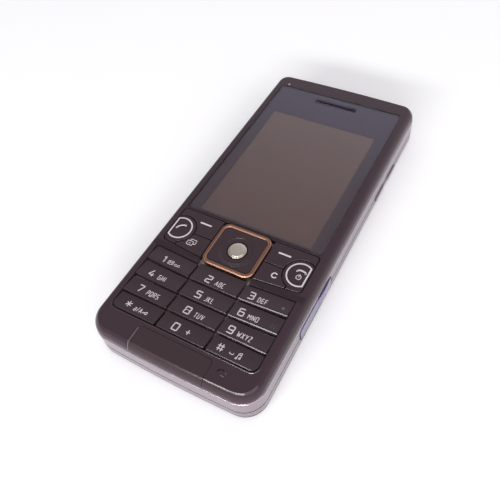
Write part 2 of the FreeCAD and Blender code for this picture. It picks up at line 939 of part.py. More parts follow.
def earpiece():
    high = face_under - mesh_thickness
    half = earpiece_width / 2
    tall = earpiece_depth / 2
    step = earpiece_step
    case = cut_box(-half, half, ear_y - tall, ear_y + tall, board_top + fit_gap, high - fit_gap, step)
    ring = cut_box(-half + step, half - step, ear_y - tall + step, ear_y + tall - step,
                   high - 2 * fit_gap, high, step)
    hole = cut_box(-half + 2 * step, half - 2 * step, ear_y - tall + 2 * step, ear_y + tall - 2 * step,
                   high - step, high + 1, step)
    return case.fuse(ring).cut(hole).removeSplitter()


def microphone():
    x = microphone_x
    y = -half_length + microphone_end
    high = face_under - 0.1
    can = post(x, y, high - microphone_height, high, microphone_radius, 12)
    port = post(x, y, high - microphone_height / 3, high + 1, microphone_radius / 4)
    return can.cut(port)


def main_board():
    """The circuit board, cut round the screw bosses and the microphone."""
    half = half_width - board_side
    low = well_low + 1
    high = half_length - 3.5
    return cut_box(-half, half, low, high, board_low, board_top, 2.0).cut(boss_notches())


def shield_cans():
    """The two screening cans on the back of the board."""
    half = can_width / 2
    spans = [(well_low + 3, nav_y - 1), (nav_y + 1, well_high - 3)]
    cans = []
    for low, high in spans:
        can = cut_box(-half, half, low, high, can_low, board_low, can_corner)
        can = can.makeChamfer(can_bevel, edges_at(can, can_low))
        cans.append(can)
    return Part.makeCompound(cans)


def key_span(column):
    """The left and right sides of a column of number keys."""
    half_groove = groove_width / 2
    spans = {-1: (-field_half, -groove_x - half_groove),
             0: (-groove_x + half_groove, groove_x - half_groove),
             1: (groove_x + half_groove, field_half)}
    return spans[column]


def number_key(column, row):
    """One number key. Its top climbs from the far edge to a bevelled near edge,
    so the rows overlap like shingles. Outer keys of the upper rows fan upwards,
    and the middle key of the top row reaches up to the navigation key."""
    left, right = key_span(column)
    low = field_low + (key_rows - 1 - row) * row_pitch
    high = low + row_pitch - key_gap
    if row == 0 and column == 0:
        high = nav_low - key_gap
    far = face_z - key_low
    near = far + key_rise
    profile = [V(0, high, key_base), V(0, low, key_base), V(0, low, near - key_bevel),
               V(0, low + key_bevel, near), V(0, low + key_nose + key_bevel, near)]
    bed = Part.Arc(profile[-1], V(0, (low + high) / 2 + 0.4, (far + near) / 2 - 0.1),
                   V(0, high, far)).toShape()
    edges = [Part.LineSegment(profile[i], profile[i + 1]).toShape() for i in range(4)]
    edges += [bed, Part.LineSegment(V(0, high, far), profile[0]).toShape()]
    body = Part.Face(Part.Wire(edges)).extrude(V(width, 0, 0))
    angle = fan_angle(row) * column
    pivot_x = column * groove_x
    body.translate(V(pivot_x - half_width, 0, 0))
    body.rotate(V(pivot_x, low, 0), V(0, 0, 1), math.degrees(angle))
    corners = [key_corner] * 4
    if row == key_rows - 1 and column:
        corners[1 if column > 0 else 0] = field_corner
    points = [(left, low - 1), (right, low - 1), (right, high + 2), (left, high + 2)]
    if row == key_rows - 1:
        points[0] = (left, low)
        points[1] = (right, low)
    column_prism = plate(points, corners, key_base - 1, face_z + 1)
    return body.common(column_prism)


def function_cap(shape):
    """A function key's cap, with its upper edge eased."""
    top = max(vertex.Z for vertex in shape.Vertexes)
    return shape.makeChamfer(function_bevel, edges_at(shape, top))


def ring_centre():
    return field_half - ring_radius * 0.66


def end_zone_radius():
    """Radius of the round field of the call and end keys, clear of the lower edge."""
    return nav_y - function_low(ring_centre(), 0) - ring_margin


def end_key():
    """The end key with its raised D-shaped ring."""
    field = function_side(0, key_base, window_top_z)
    cap = field.common(end_zone(0, key_base, window_top_z))
    cap = function_cap(cap.removeSplitter())
    ring = ring_shape(0).cut(ring_shape(-ring_stroke))
    return cap.fuse(ring).removeSplitter()


def ring_shape(grow):
    x = ring_centre()
    flat = field_half - ring_flat_inset + grow
    radius = ring_radius + grow
    body = post(x, nav_y, window_top_z - ring_root, window_top_z + ring_lift, radius, ring_sides)
    return body.common(box(-width, flat, -length, length, 0, thickness))


def end_zone(grow, z0, z1):
    x = ring_centre()
    radius = end_zone_radius() - function_gap + grow
    round_part = Part.makeCylinder(radius, z1 - z0, V(x, nav_y, z0))
    foot = box(x - ring_foot - grow, half_width, -half_length, nav_y, z0, z1)
    return round_part.fuse(foot)


def soft_key():
    """The right selection key, wrapped over the end key."""
    field = function_side(0, key_base, window_top_z)
    area = box(nav_width / 2 + function_gap + 0.1, half_width, nav_y + function_gap / 2, length,
               key_base, window_top_z)
    cap = field.common(area).cut(end_zone(function_gap, key_base - 1, thickness + 1))
    return function_cap(cap.removeSplitter())


def clear_key():
    """The clear key, below the right selection key."""
    field = function_side(0, key_base, window_top_z)
    area = box(nav_width / 2 + function_gap + 0.1, half_width, -length, nav_y - function_gap / 2,
               key_base, window_top_z)
    cap = field.common(area).cut(end_zone(function_gap, key_base - 1, thickness + 1))
    return function_cap(cap.removeSplitter())


def nav_frame():
    """The metal frame of the navigation key, bevelled round both its edges."""
    frame = nav_plate(0, nav_base, thickness)
    frame = frame.makeChamfer(nav_outer_bevel, edges_at(frame, thickness))
    opening = nav_plate(-nav_stroke, key_base, thickness + 1)
    bevel_low = thickness - nav_inner_bevel
    mouth = nav_plate(nav_inner_bevel - nav_stroke, bevel_low, thickness + 1)
    mouth = mouth.makeChamfer(nav_inner_bevel, edges_at(mouth, bevel_low))
    return frame.cut([opening, mouth])


def nav_pad():
    """The pad inside the frame, with a round dish that leads down to the select key."""
    pad = nav_plate(-nav_stroke - nav_pad_gap, nav_base, nav_pad_z)
    hole = post(0, nav_y, key_base - 1, thickness + 1, select_radius + select_gap, round_sides)
    floor = many_sided(0, nav_y, nav_pad_z - dish_depth, dish_radius - dish_slope, round_sides)
    mouth = many_sided(0, nav_y, nav_pad_z, dish_radius, round_sides)
    return pad.cut([hole, Part.makeLoft([floor, mouth], True, True)])


def nav_carrier():
    """The rocking plate under the navigation key. The key rocks up and down on
    the ridge across its top, and the plate itself rocks left and right."""
    half = nav_width / 2 - carrier_inset
    tall = nav_height / 2 - carrier_inset
    sheet = cut_box(-half, half, nav_y - tall, nav_y + tall, key_base, key_base + carrier_sheet,
                    carrier_inset)
    ridge = box(-half, half, nav_y - carrier_ridge / 2, nav_y + carrier_ridge / 2,
                key_base, nav_base - carrier_gap)
    hole = post(0, nav_y, key_base - 1, thickness, select_radius + 3 * select_gap, 24)
    return sheet.fuse(ridge).cut(hole).removeSplitter()


def select_key():
    """The round select key, bevelled to a flat crown."""
    low = key_base - select_foot
    high = thickness - select_sink
    key = post(0, nav_y, low, high, select_radius, round_sides)
    return key.makeChamfer(select_bevel, edges_at(key, high))


def press_points():
    """The dome under every key, for the mat's nubs and the dome sheet."""
    points = []
    for row in range(key_rows):
        low = field_low + (key_rows - 1 - row) * row_pitch
        for column in (-1, 0, 1):
            left, right = key_span(column)
            lift = abs(column) * (right - left) / 2 * math.tan(fan_angle(row))
            points.append(((left + right) / 2, low + (row_pitch - key_gap) / 2 + lift))
    across = nav_width / 2 - 2 * nub_radius
    along = nav_height / 2 - 2 * nub_radius
    points += [(0, nav_y), (0, nav_y + along), (0, nav_y - along), (across, nav_y), (-across, nav_y)]
    soft_x = (nav_width / 2 + ring_centre() - end_zone_radius()) / 2
    soft_rise = nav_height / 4
    for side in (-1, 1):
        points.append((side * ring_centre(), nav_y))
        points.append((side * soft_x, nav_y + soft_rise))
        points.append((side * soft_x, nav_y - soft_rise))
    return points


def keypad_mat():
    """The rubber mat and light guide under the keys, with a nub on each dome."""
    half = field_half + 0.6
    mat = cut_box(-half, half, field_low - 0.4, nav_high + 0.2, mat_low, mat_top, 1.0)
    nubs = [post(x, y, mat_low - nub_height, mat_low + 0.1, nub_radius, 4)
            for x, y in press_points()]
    return mat.fuse(nubs).cut(boss_notches())


def dome_sheet():
    """The clear sheet that holds the steel snap domes on the board."""
    half = half_width - board_side - 0.4
    sheet = cut_box(-half, half, field_low - 0.2, nav_high - 0.2, board_top, sheet_top, 1.0)
    domes = [post(x, y, sheet_top - 0.05, sheet_top + dome_height, dome_radius, 6)
             for x, y in press_points()]
    return sheet.fuse(domes).cut(boss_notches())


def key_flange(y0, y1, z0, z1, gap):
    """The flange that keeps a side key behind the wall."""
    outer = half_width - shell_wall - gap
    return box(outer - flange_depth, outer, y0 - flange_reach, y1 + flange_reach, z0, z1)


def volume_rocker():
    """The volume and zoom rocker: a proud bar with a finger dip in its middle and
    a flange set back far enough for either end to swing out."""
    y0, y1 = rocker_span()
    z0 = rocker_low
    z1 = lower_seam - side_key_gap
    outer = half_width + rocker_proud
    bar = Part.Face(rounded_wire([(y0, z0), (y1, z0), (y1, z1), (y0, z1)], [rocker_corner] * 4))
    bar.rotate(V(0, 0, 0), V(1, 1, 1), 120)
    inner = half_width - shell_wall - rocker_swing - flange_depth
    bar.translate(V(inner, 0, 0))
    bar = bar.extrude(V(outer - inner, 0, 0))
    pocket_x = half_width - shell_wall - side_pocket_depth
    over_plate = box(inner - 1, pocket_x + rocker_swing, y0 - 1, y1 + 1,
                     0, cover_rim + back_plate + fit_gap)
    middle = (y0 + y1) / 2
    dip = Part.makeCylinder(rocker_dip_radius, thickness,
                            V(outer + rocker_dip_radius - rocker_dip, middle, z0 - 1))
    flange = key_flange(y0, y1, cover_rim + back_plate + fit_gap, z1, rocker_swing)
    return bar.cut([dip, over_plate]).fuse(flange).removeSplitter()


def shutter_key():
    """The camera key: a long bar whose forward end swells outwards."""
    y0, y1 = shutter_span()
    z0 = shutter_low
    z1 = shutter_high
    inner = half_width - shell_wall - side_key_gap - flange_depth
    outer = half_width + side_proud
    base = half_width + shutter_base_proud
    plan = [V(inner, y0, 0), V(base, y0, 0), V(base, y1 - shutter_nose, 0)]
    swell = Part.Arc(plan[2], V(outer, y1 - shutter_nose / 2, 0), V(base, y1, 0))
    edges = [Part.LineSegment(plan[0], plan[1]).toShape(), Part.LineSegment(plan[1], plan[2]).toShape(),
             swell.toShape(), Part.LineSegment(V(base, y1, 0), V(inner, y1, 0)).toShape(),
             Part.LineSegment(V(inner, y1, 0), plan[0]).toShape()]
    bar = Part.Face(Part.Wire(edges)).extrude(V(0, 0, thickness))
    section = side_pocket(y0, y1, z0, z1, shutter_corner, 0)
    flange = key_flange(y0, y1, z0 + fit_gap, z1 - fit_gap, side_key_gap)
    return bar.common(section).fuse(flange).removeSplitter()


def battery():
    """The lithium cell in its wrapped case, with three contact pads at its top."""
    cell = cut_box(-battery_half, battery_half, well_low + battery_gap, battery_top,
                   battery_low, battery_high, 1.0)
    half = contact_width / 2
    pads = [box(x - half, x + half, battery_top - battery_gap, battery_top + 1,
                battery_high - contact_width - 0.4, battery_high - 0.8) for x in contact_xs]
    return cell.cut(pads)


def battery_contacts():
    """The contact block in the well, with three sprung fingers."""
    y0 = bay_low
    half = contact_block / 2
    block = box(-half, half, y0, y0 + contact_depth - 3 * fit_gap, battery_low + 1, well_ceiling)
    half = contact_width / 4
    fingers = [box(x - half, x + half, y0 - contact_reach, y0 + 2 * fit_gap,
                   battery_high - contact_width, battery_high - contact_width / 2) for x in contact_xs]
    return block.fuse(fingers).removeSplitter()


def card_place(card_height):
    low = bay_low + contact_depth + 0.4
    return low, low + card_height


def holder(x0, x1, y0, y1, z0, z1, slot_low, slot_high):
    """A bracket that holds a card flat and lets it slide out towards +X."""
    bracket = box(x0, x1, y0 - holder_wall - fit_gap, y1 + holder_wall + fit_gap, z0, z1)
    slot = box(x0 + holder_wall, x1 + 1, y0 - fit_gap, y1 + fit_gap, slot_low, slot_high)
    window = box(x0 + 3, x1 - 1.5, y0 + 2, y1 - 2, z0 - 1, slot_low + 0.1)
    return bracket.cut([slot, window])


def sim_levels():
    high = well_ceiling - 0.2
    return high - sim_thickness, high


def memory_levels():
    high = sim_levels()[0] - 3 * holder_wall
    return high - memory_thickness, high


def sim_holder():
    low, high = sim_levels()
    y0, y1 = card_place(sim_height)
    x0 = -well_half + 0.2
    return holder(x0, x0 + sim_bracket, y0, y1, low - holder_wall - 0.05, well_ceiling,
                  low - 0.05, high + 0.05)


def sim_card():
    low, high = sim_levels()
    y0, y1 = card_place(sim_height)
    x0 = -well_half + 0.2 + holder_wall + 0.1
    x1 = x0 + sim_width
    points = [(x0, y0), (x1 - sim_corner, y0), (x1, y0 + sim_corner), (x1, y1), (x0, y1)]
    return plate(points, [0] * 5, low, high)


def memory_holder():
    low, high = memory_levels()
    y0, y1 = card_place(memory_height)
    x0 = -well_half + 0.2
    return holder(x0, x0 + memory_bracket, y0, y1, low - holder_wall - 0.05,
                  sim_levels()[0] - holder_wall - 0.05, low - 0.05, high + 0.05)


def memory_card():
    low, high = memory_levels()
    y0, y1 = card_place(memory_height)
    x0 = -well_half + 0.2 + holder_wall + 0.1
    card = cut_box(x0, x0 + memory_width, y0, y1, low, high, 0.4)
    grip = box(x0 + memory_width - 1.6, x0 + memory_width - 1.0, y0 + 2, y1 - 2, low - 1, low + 0.25)
    return card.cut(grip)


def motor_axis():
    return half_length - motor_end, upper_plate + motor_radius + 0.05


def along_motor(x0, x1, radius, sides):
    """A round bar on the vibration motor's axis."""
    y, z = motor_axis()
    bar = post(0, 0, 0, x1 - x0, radius, sides)
    bar.rotate(V(0, 0, 0), V(0, 1, 0), 90)
    bar.translate(V(x0, y, z))
    return bar


def vibration_motor():
    x0 = -half_width + motor_side
    can = along_motor(x0, x0 + motor_length, motor_radius, 12)
    shaft = along_motor(x0 + 0.5, x0 + motor_length + weight_gap + weight_length + 0.5, shaft_radius, 8)
    return can.fuse(shaft)


def vibration_weight():
    """The half-round weight on the motor's shaft."""
    y, z = motor_axis()
    x0 = -half_width + motor_side + motor_length + weight_gap
    x1 = x0 + weight_length
    hub = along_motor(x0, x1, shaft_radius + 0.5, 8)
    lobe = along_motor(x0, x1, weight_radius, 12).common(box(x0, x1, y, y + 5, 0, thickness))
    bore = along_motor(x0 - 1, x1 + 1, shaft_radius + bore_gap, 8)
    return hub.fuse(lobe).cut(bore)


def side_connector():
    """The connector on the left side, with a row of contacts in its face."""
    low, high = connector_span()
    outer = -half_width - side_proud
    inner = outer + connector_depth
    z0 = connector_low
    z1 = connector_low + connector_height
    block = box(outer, inner, low, high, z0, z1)
    block = block.makeChamfer(connector_bevel, [edge for edge in block.Edges
                                                if edge.BoundBox.XMax < outer + 1e-4])
    cuts = []
    middle = (low + high) / 2
    for index in range(connector_pins):
        y = middle + (index - (connector_pins - 1) / 2) * connector_pitch
        cuts.append(box(outer - 1, outer + connector_slot_depth, y - connector_slot / 2,
                        y + connector_slot / 2, z0 + connector_slot_margin, z1 - connector_slot_margin))
    return block.cut(cuts)


def antenna_carrier():
    """The antenna's plastic carrier in the chin, following the rounded end."""
    low_z = lower_seam - 0.8
    inner = inner_room(shell_wall + 2 * fit_gap, low_z, upper_seam - 1.0)
    band = box(-half_width + 5, half_width - 5, -length, well_low - well_wall - 0.3,
               low_z, upper_seam - 1.0)
    carrier = inner.common(band)
    hollow = box(-half_width + 6.5, half_width - 6.5, -half_length + shell_wall + 1.4,
                 well_low - well_wall - 1.3, low_z - 1, upper_seam - 1.8)
    return carrier.cut(hollow)


def housing_screws():
    """The four case screws."""
    low = cover_rim + 0.05
    seat = cover_rim + screw_head_height + fit_gap
    return Part.makeCompound(at_screws(
        lambda x, y: post(x, y, low, seat, screw_head, 12).fuse(
            post(x, y, seat - 0.1, upper_seam, screw_shank))))


nodes = {
    "front_cover": front_cover(),
    "chin_plate": chin_plate(),
    "display_window": display_window(),
    "earpiece_mesh": earpiece_mesh(),
    "sensor_lens": sensor_lens(),
    "display_module": display_module(),
    "display_gasket": display_gasket(),
    "chassis_plate": chassis_plate(),
    "mid_frame": mid_frame(),
    "back_housing": back_housing(),
    "battery_cover": battery_cover(),
    "lens_cover": lens_cover(),
    "camera_ring": camera_ring(),
    "camera_window": camera_window(),
    "camera_module": camera_module(),
    "lens_barrel": lens_barrel(),
    "flash_window": flash_window(),
    "flash_leds": flash_leds(),
    "loudspeaker": loudspeaker(),
    "earpiece": earpiece(),
    "microphone": microphone(),
    "main_board": main_board(),
    "shield_cans": shield_cans(),
    "keypad_mat": keypad_mat(),
    "dome_sheet": dome_sheet(),
    "nav_frame": nav_frame(),
    "nav_pad": nav_pad(),
    "nav_carrier": nav_carrier(),
    "select_key": select_key(),
    "end_key": end_key(),
    "call_key": mirrored(end_key()),
    "right_soft_key": soft_key(),
    "left_soft_key": mirrored(soft_key()),
    "clear_key": clear_key(),
    "activity_key": mirrored(clear_key()),
    "volume_rocker": volume_rocker(),
    "shutter_key": shutter_key(),
    "battery": battery(),
    "battery_contacts": battery_contacts(),
    "sim_holder": sim_holder(),
    "sim_card": sim_card(),
    "memory_holder": memory_holder(),
    "memory_card": memory_card(),
    "vibration_motor": vibration_motor(),
    "vibration_weight": vibration_weight(),
    "side_connector": side_connector(),
    "antenna_carrier": antenna_carrier(),
    "housing_screws": housing_screws(),
}

key_names = [["key_1", "key_2", "key_3"], ["key_4", "key_5", "key_6"],
             ["key_7", "key_8", "key_9"], ["key_star", "key_0", "key_hash"]]
for row, names in enumerate(key_names):
    for column, name in enumerate(names):
        nodes[name] = number_key(column - 1, row)

os.makedirs("parts", exist_ok=True)
for name, shape in nodes.items():
    shape.exportStep(f"parts/{name}.step")
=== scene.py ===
import bpy
import bmesh
import math
from mathutils import Matrix, Vector
from mathutils.bvhtree import BVHTree


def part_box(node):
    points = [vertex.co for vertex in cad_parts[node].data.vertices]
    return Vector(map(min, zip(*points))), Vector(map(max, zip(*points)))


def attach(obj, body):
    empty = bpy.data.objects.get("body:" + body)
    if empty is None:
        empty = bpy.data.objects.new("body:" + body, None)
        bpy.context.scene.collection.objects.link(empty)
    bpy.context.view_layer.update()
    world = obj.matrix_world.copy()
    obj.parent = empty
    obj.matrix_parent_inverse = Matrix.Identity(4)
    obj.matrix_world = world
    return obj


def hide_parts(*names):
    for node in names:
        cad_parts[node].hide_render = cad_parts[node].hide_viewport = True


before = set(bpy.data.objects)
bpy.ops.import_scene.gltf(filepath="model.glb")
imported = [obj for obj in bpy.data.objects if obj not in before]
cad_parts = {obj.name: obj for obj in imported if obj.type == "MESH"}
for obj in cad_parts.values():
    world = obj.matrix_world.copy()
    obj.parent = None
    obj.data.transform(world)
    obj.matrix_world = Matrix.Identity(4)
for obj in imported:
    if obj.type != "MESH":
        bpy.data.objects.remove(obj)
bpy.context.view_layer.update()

MM = 0.001
MICRON = 0.000001

# Levels and places on the handset, in millimetres, as its solids have them
FACE_Z = 12.0
WINDOW_LOW_Z = 11.2
RAISED_RING_Z = 12.13
SCREEN_FACE_Z = 11.0
DISPLAY_HALF, DISPLAY_LOW, DISPLAY_HIGH = 16.8, -9.95, 34.7
NAV_Y = -18.55
FRAME_HALF_X, FRAME_HALF_Y, FRAME_CORNER, FRAME_STROKE = 7.4, 6.8, 2.4, 1.0
# The half width of the frame's groove, bumped in and painted darker as shade
GROOVE_HALF = 0.18
RING_X, RING_RADIUS, RING_FLAT_X, RING_LINE = 17.907, 3.55, 20.0, 0.4
# Painted shade in the valley below the function keys: its ends along the handset, their softness,
# and how far below the face it reaches and fades
VALLEY_LOW, VALLEY_HIGH, VALLEY_SOFT, VALLEY_REACH, VALLEY_FADE = -26.0, -23.6, 0.5, 0.2, 0.15
SEAM_LOW_Z, SEAM_HIGH_Z = 3.98, 4.28
# Where the painted highlight along the chin inlay's left edge ends
INLAY_EDGE = -10.1
DOME_BASE_Z = 8.86
FLASH_LENS_Z = 1.92
FINGER_ROOT_Y = 7.49
CAMERA_X, CAMERA_Y = 8.0, 40.5
SPEAKER_X = -11.5
EAR_Y, EAR_HALF_X, EAR_HALF_Y = 43.9, 6.9, 0.85
SCREW_X, SCREW_YS, SCREW_HEAD_Z = 20.5, (-40.0, 8.0), 1.75
CONNECTOR_Y, CONNECTOR_PITCH, CONNECTOR_PINS = -26.3, 1.3, 6
GRILLE_Y, GRILLE_PITCH, GRILLE_SLOTS = 30.9, 1.5, 7

# The lip round the lower end of the number keys: LIP_RUN of a ring LIP_LENGTH long is kept
LIP_X, LIP_Y, LIP_LENGTH, LIP_RUN = 20.95, -46.5, 20.0, 2.7
LIP_CORNER, LIP_WIDTH, LIP_SINK, LIP_RISE, LIP_CHAMFER = 2.2, 0.42, 0.1, 0.24, 0.2

# The dark ring round the camera key, painted shade for the gap that it moves in
SHUTTER_Y, SHUTTER_HALF, SHUTTER_LOW_Z, SHUTTER_HIGH_Z = -21.3, 8.8, 3.0, 6.8
SHUTTER_RIM, SHUTTER_CORNER, SHUTTER_LINE = 0.52, 1.6, 0.4
SHUTTER_INNER_X, SHUTTER_DEPTH = 23.2, 0.34

# The seal and the print of the window, from the window's lower side up
SEAL_GAP, SEAL_LIFT, SEAL_RISE, SEAL_HIGH_CORNER, SEAL_LOW_CORNER = 0.1, 0.05, 0.68, 1.6, 0.5
PRINT_INSET, PRINT_LIFT, PRINT_RISE = 0.15, 0.03, 0.02
# Where the print turns to the painted reflection towards the earpiece: its start and its run
PRINT_FADE_Y, PRINT_FADE_RUN = 15.0, 28.0

# The connector's contacts, the screws' crosses and the loudspeaker's cloth
CONTACT_X, CONTACT_HALF, CONTACT_Z = -23.3, 0.2, (5.65, 6.75)
CROSS_REACH, CROSS_HALF, CROSS_SINK, CROSS_STAND = 0.75, 0.14, 0.015, 0.01
CLOTH_HALVES, CLOTH_Z = (0.34, 1.38), (1.6, 1.75)
CLOTH_PITCH, EAR_WEAVE_PITCH = 0.18, 0.22

# The battery: contact pads, label, the label's border, plus and minus
PAD_XS, PAD_Y, PAD_HALF, PAD_DEPTH, PAD_Z = (-4.0, 0.0, 4.0), 7.255, 0.9, 0.11, (3.2, 4.9)
LABEL_LOW, LABEL_HIGH = (-15.0, -43.0, 1.18), (15.0, 1.0, 1.21)
BORDER_X, BORDER_Y, BORDER_Z, BORDER_LINE = (-14.2, 14.2), (-42.2, 0.2), (1.17, 1.185), 0.25
MARK_X, MARK_Y, MARK_Z, MARK_REACH, MARK_HALF = 4.0, 4.55, (1.19, 1.205), 1.0, 0.15

# The cards' contacts: a row of them is its middle, its pitch and their number
SIM_FIELD_XS, SIM_FIELD_YS = (-8.7, 5.0, 2), (16.975, 2.25, 4)
SIM_FIELD_HALVES, SIM_FIELD_Z = (2.3, 1.0), (5.70, 5.725)
STRIP_X, STRIP_YS, STRIP_HALVES, STRIP_Z = -15.45, (15.45, 1.35, 8), (1.25, 0.425), (4.19, 4.215)

# Ink: how flat its strokes lie, how far they stand off the key, the gap between two signs
# and the rounding of a corner, which takes no more than a share of each leg
INK_FLATNESS, INK_LIFT, INK_SPACING = 0.12, 0.004, 0.28
INK_CORNER, INK_CORNER_SHARE = 0.3, 0.45
RAY_START_Z = 20.0

# Handling: the share of hairlines, the middle of the smudges, and how wide and how rare dust is
HAIR_SHARE, SMUDGE_MIDDLE, SPECK_SIZE, SPECK_LEVEL = 0.35, 0.67, 0.09, 0.55

# Finishes, as linear colours
PLUM = (0.044, 0.025, 0.032)
PLUM_GLOSS = (0.046, 0.027, 0.032)
KEY_PLUM = (0.038, 0.021, 0.027)
PRINT_LOW = (0.085, 0.052, 0.066)
# The print's colour with the painted reflection of the room, towards the earpiece
PRINT_REFLECTED = (0.108, 0.084, 0.142)
SCREEN_BROWN = (0.16, 0.064, 0.043)
SILVER_PAINT = (0.30, 0.242, 0.28)
SEAM_SHADOW = (0.03, 0.024, 0.028)
LEGEND_INK = (0.68, 0.60, 0.64)
# Faint ink of the small key marks, also the colour of the painted highlight under the microphone
# hole
FAINT_INK_AND_HIGHLIGHT = (0.14, 0.12, 0.13)
GOLD = (0.8, 0.56, 0.22)
COPPER = (0.42, 0.225, 0.155)
BLACK = (0.02, 0.02, 0.022)
DUST = (0.5, 0.47, 0.46)

# The studio, in metres, degrees and watts. A lamp is its place, its size and its power
FLOOR_RADIUS, FLOOR_LIFT = 3.0, 0.13
ROOM_NEAR, ROOM_FAR = (0.45, (0.52, 0.51, 0.53)), (0.95, (1.1, 1.07, 1.14))
LAMPS = {
    "front_strip": ((0.10, -0.76, 0.345), (0.78, 0.10), 5.8),
    "right_fill": ((0.62, -0.30, 0.34), (0.7, 0.4), 1.7),
}
EYE_PLACE = (0.053602, -0.084364, 0.125373)
EYE_TURN = (38.253, 4.742, 28.35)
EYE_LENS, EYE_SENSOR, EYE_SHIFT, EYE_NEAREST = 39.502, 36.0, (-0.025, -0.04), 0.01


# ---------------- nodes

def plug(socket, value):
    """Gives an input a plain value or a source."""
    if isinstance(value, bpy.types.NodeSocket):
        socket.id_data.links.new(value, socket)
    elif value is not None:
        socket.default_value = value


def add(tree, kind, **settings):
    """A new node's outputs. A setting goes by its name, and an input by in_ and its name or
    number."""
    node = tree.nodes.new(kind)
    for key, value in settings.items():
        if key.startswith("in_"):
            label = key[3:].replace("_", " ")
            plug(node.inputs[int(label) if label.isdigit() else label], value)
        else:
            setattr(node, key, value)
    return node.outputs


def pattern(tree, kind, **settings):
    """The outputs of a texture laid by the object's own coordinates."""
    place = add(tree, "ShaderNodeTexCoord")["Object"]
    return add(tree, kind, in_Vector=place, **settings)


def calc(tree, operation, first, second=None, third=None, clamp=False):
    """A sum of values or sources."""
    return add(tree, "ShaderNodeMath", operation=operation, use_clamp=clamp, in_0=first,
               in_1=second, in_2=third)[0]


def mix(tree, under, upper, mask):
    """One colour over another by a mask. Each is a plain colour or a source."""
    under, upper = ((*colour, 1.0) if isinstance(colour, tuple) else colour
                    for colour in (under, upper))
    return add(tree, "ShaderNodeMix", data_type="RGBA", in_A=under, in_B=upper,
               in_Factor=mask)["Result"]


def raised_by(tree, height, microns, normal=None):
    """A normal bent by a height."""
    return add(tree, "ShaderNodeBump", in_Strength=1.0, in_Distance=microns * MICRON,
               in_Height=height, in_Normal=normal)["Normal"]


# ---------------- effects

def new_group(name, inputs, outputs):
    """An empty effect with number inputs and typed outputs: its tree, sources and sinks."""
    group = bpy.data.node_groups.new(name, "ShaderNodeTree")
    for label, value in inputs.items():
        socket = group.interface.new_socket(label, in_out="INPUT", socket_type="NodeSocketFloat")
        socket.default_value = value
    for label, kind in outputs.items():
        group.interface.new_socket(label, in_out="OUTPUT", socket_type="NodeSocket" + kind)
    source = group.nodes.new("NodeGroupInput")
    sink = group.nodes.new("NodeGroupOutput")
    return group, source.outputs, sink.inputs


def fine_grain_effect():
    """Moulded grain: a fine noise as a height and as a light or dark tone."""
    group, source, sink = new_group("fine_grain", {"Scale": 9000.0},
                                    {"Height": "Float", "Tone": "Float"})
    noise = pattern(group, "ShaderNodeTexNoise", in_Detail=3.0, in_Roughness=0.6,
                    in_Scale=source["Scale"])["Fac"]
    plug(sink["Height"], noise)
    plug(sink["Tone"], noise)
    return group


def handling_effect():
    """Handling: broad smudges, fine hairlines and dust, as changes of gloss."""
    group, source, sink = new_group("handling", {"Gloss": 0.3, "Spread": 0.08, "Dust": 0.02},
                                    {"Roughness": "Float", "Dust": "Float"})
    broad = pattern(group, "ShaderNodeTexNoise", in_Scale=85.0, in_Detail=4.0,
                    in_Distortion=0.6)["Fac"]
    stretched = pattern(group, "ShaderNodeMapping", in_Scale=(1.0, 0.12, 1.0))["Vector"]
    hair = add(group, "ShaderNodeTexNoise", in_Scale=900.0, in_Detail=2.0,
               in_Vector=stretched)["Fac"]
    specks = pattern(group, "ShaderNodeTexVoronoi", in_Scale=700.0)["Distance"]
    both = calc(group, "MULTIPLY_ADD", hair, HAIR_SHARE, broad)
    swing = calc(group, "MULTIPLY", calc(group, "SUBTRACT", both, SMUDGE_MIDDLE), source["Spread"])
    plug(sink["Roughness"], calc(group, "MULTIPLY_ADD", swing, 2.0, source["Gloss"], clamp=True))
    rare = calc(group, "MULTIPLY", calc(group, "LESS_THAN", specks, SPECK_SIZE),
                calc(group, "GREATER_THAN", broad, SPECK_LEVEL))
    plug(sink["Dust"], calc(group, "MULTIPLY", rare, source["Dust"]))
    return group


def soft_edge_effect():
    """Rounds each crisp edge for the light, and marks the worn line along it."""
    group, source, sink = new_group("soft_edge", {"Radius": 0.12 * MM, "Wear": 1.0},
                                    {"Normal": "Vector", "Worn": "Float"})
    rounded = add(group, "ShaderNodeBevel", samples=6, in_Radius=source["Radius"])["Normal"]
    plain = add(group, "ShaderNodeNewGeometry")["Normal"]
    meet = add(group, "ShaderNodeVectorMath", operation="DOT_PRODUCT", in_0=rounded,
               in_1=plain)["Value"]
    bent = calc(group, "MULTIPLY", calc(group, "SUBTRACT", 1.0, meet), 3.0, clamp=True)
    plug(sink["Worn"], calc(group, "MULTIPLY", bent, source["Wear"]))
    plug(sink["Normal"], rounded)
    return group


def brushed_effect():
    """Brushing along the handset: long fine lines as a height."""
    group, source, sink = new_group("brushed", {"Along": 0.02, "Across": 1.0},
                                    {"Height": "Float"})
    place = add(group, "ShaderNodeTexCoord")["Object"]
    factors = add(group, "ShaderNodeCombineXYZ", in_X=source["Across"], in_Y=source["Along"],
                  in_Z=1.0)["Vector"]
    stretched = add(group, "ShaderNodeVectorMath", operation="MULTIPLY", in_0=place,
                    in_1=factors)["Vector"]
    plug(sink["Height"], add(group, "ShaderNodeTexNoise", in_Detail=2.0, in_Scale=14000.0,
                             in_Vector=stretched)["Fac"])
    return group


EFFECTS = {
    "grain": fine_grain_effect(),
    "handling": handling_effect(),
    "edge": soft_edge_effect(),
    "brushed": brushed_effect(),
}


def effect(tree, name, **values):
    """The outputs of an effect placed in a material with its own values."""
    node = tree.nodes.new("ShaderNodeGroup")
    node.node_tree = EFFECTS[name]
    for key, value in values.items():
        node.inputs[key].default_value = value
    return node.outputs


# ---------------- masks

def object_axis(tree, axis):
    """One of the object's own coordinates."""
    return pattern(tree, "ShaderNodeSeparateXYZ")[axis]


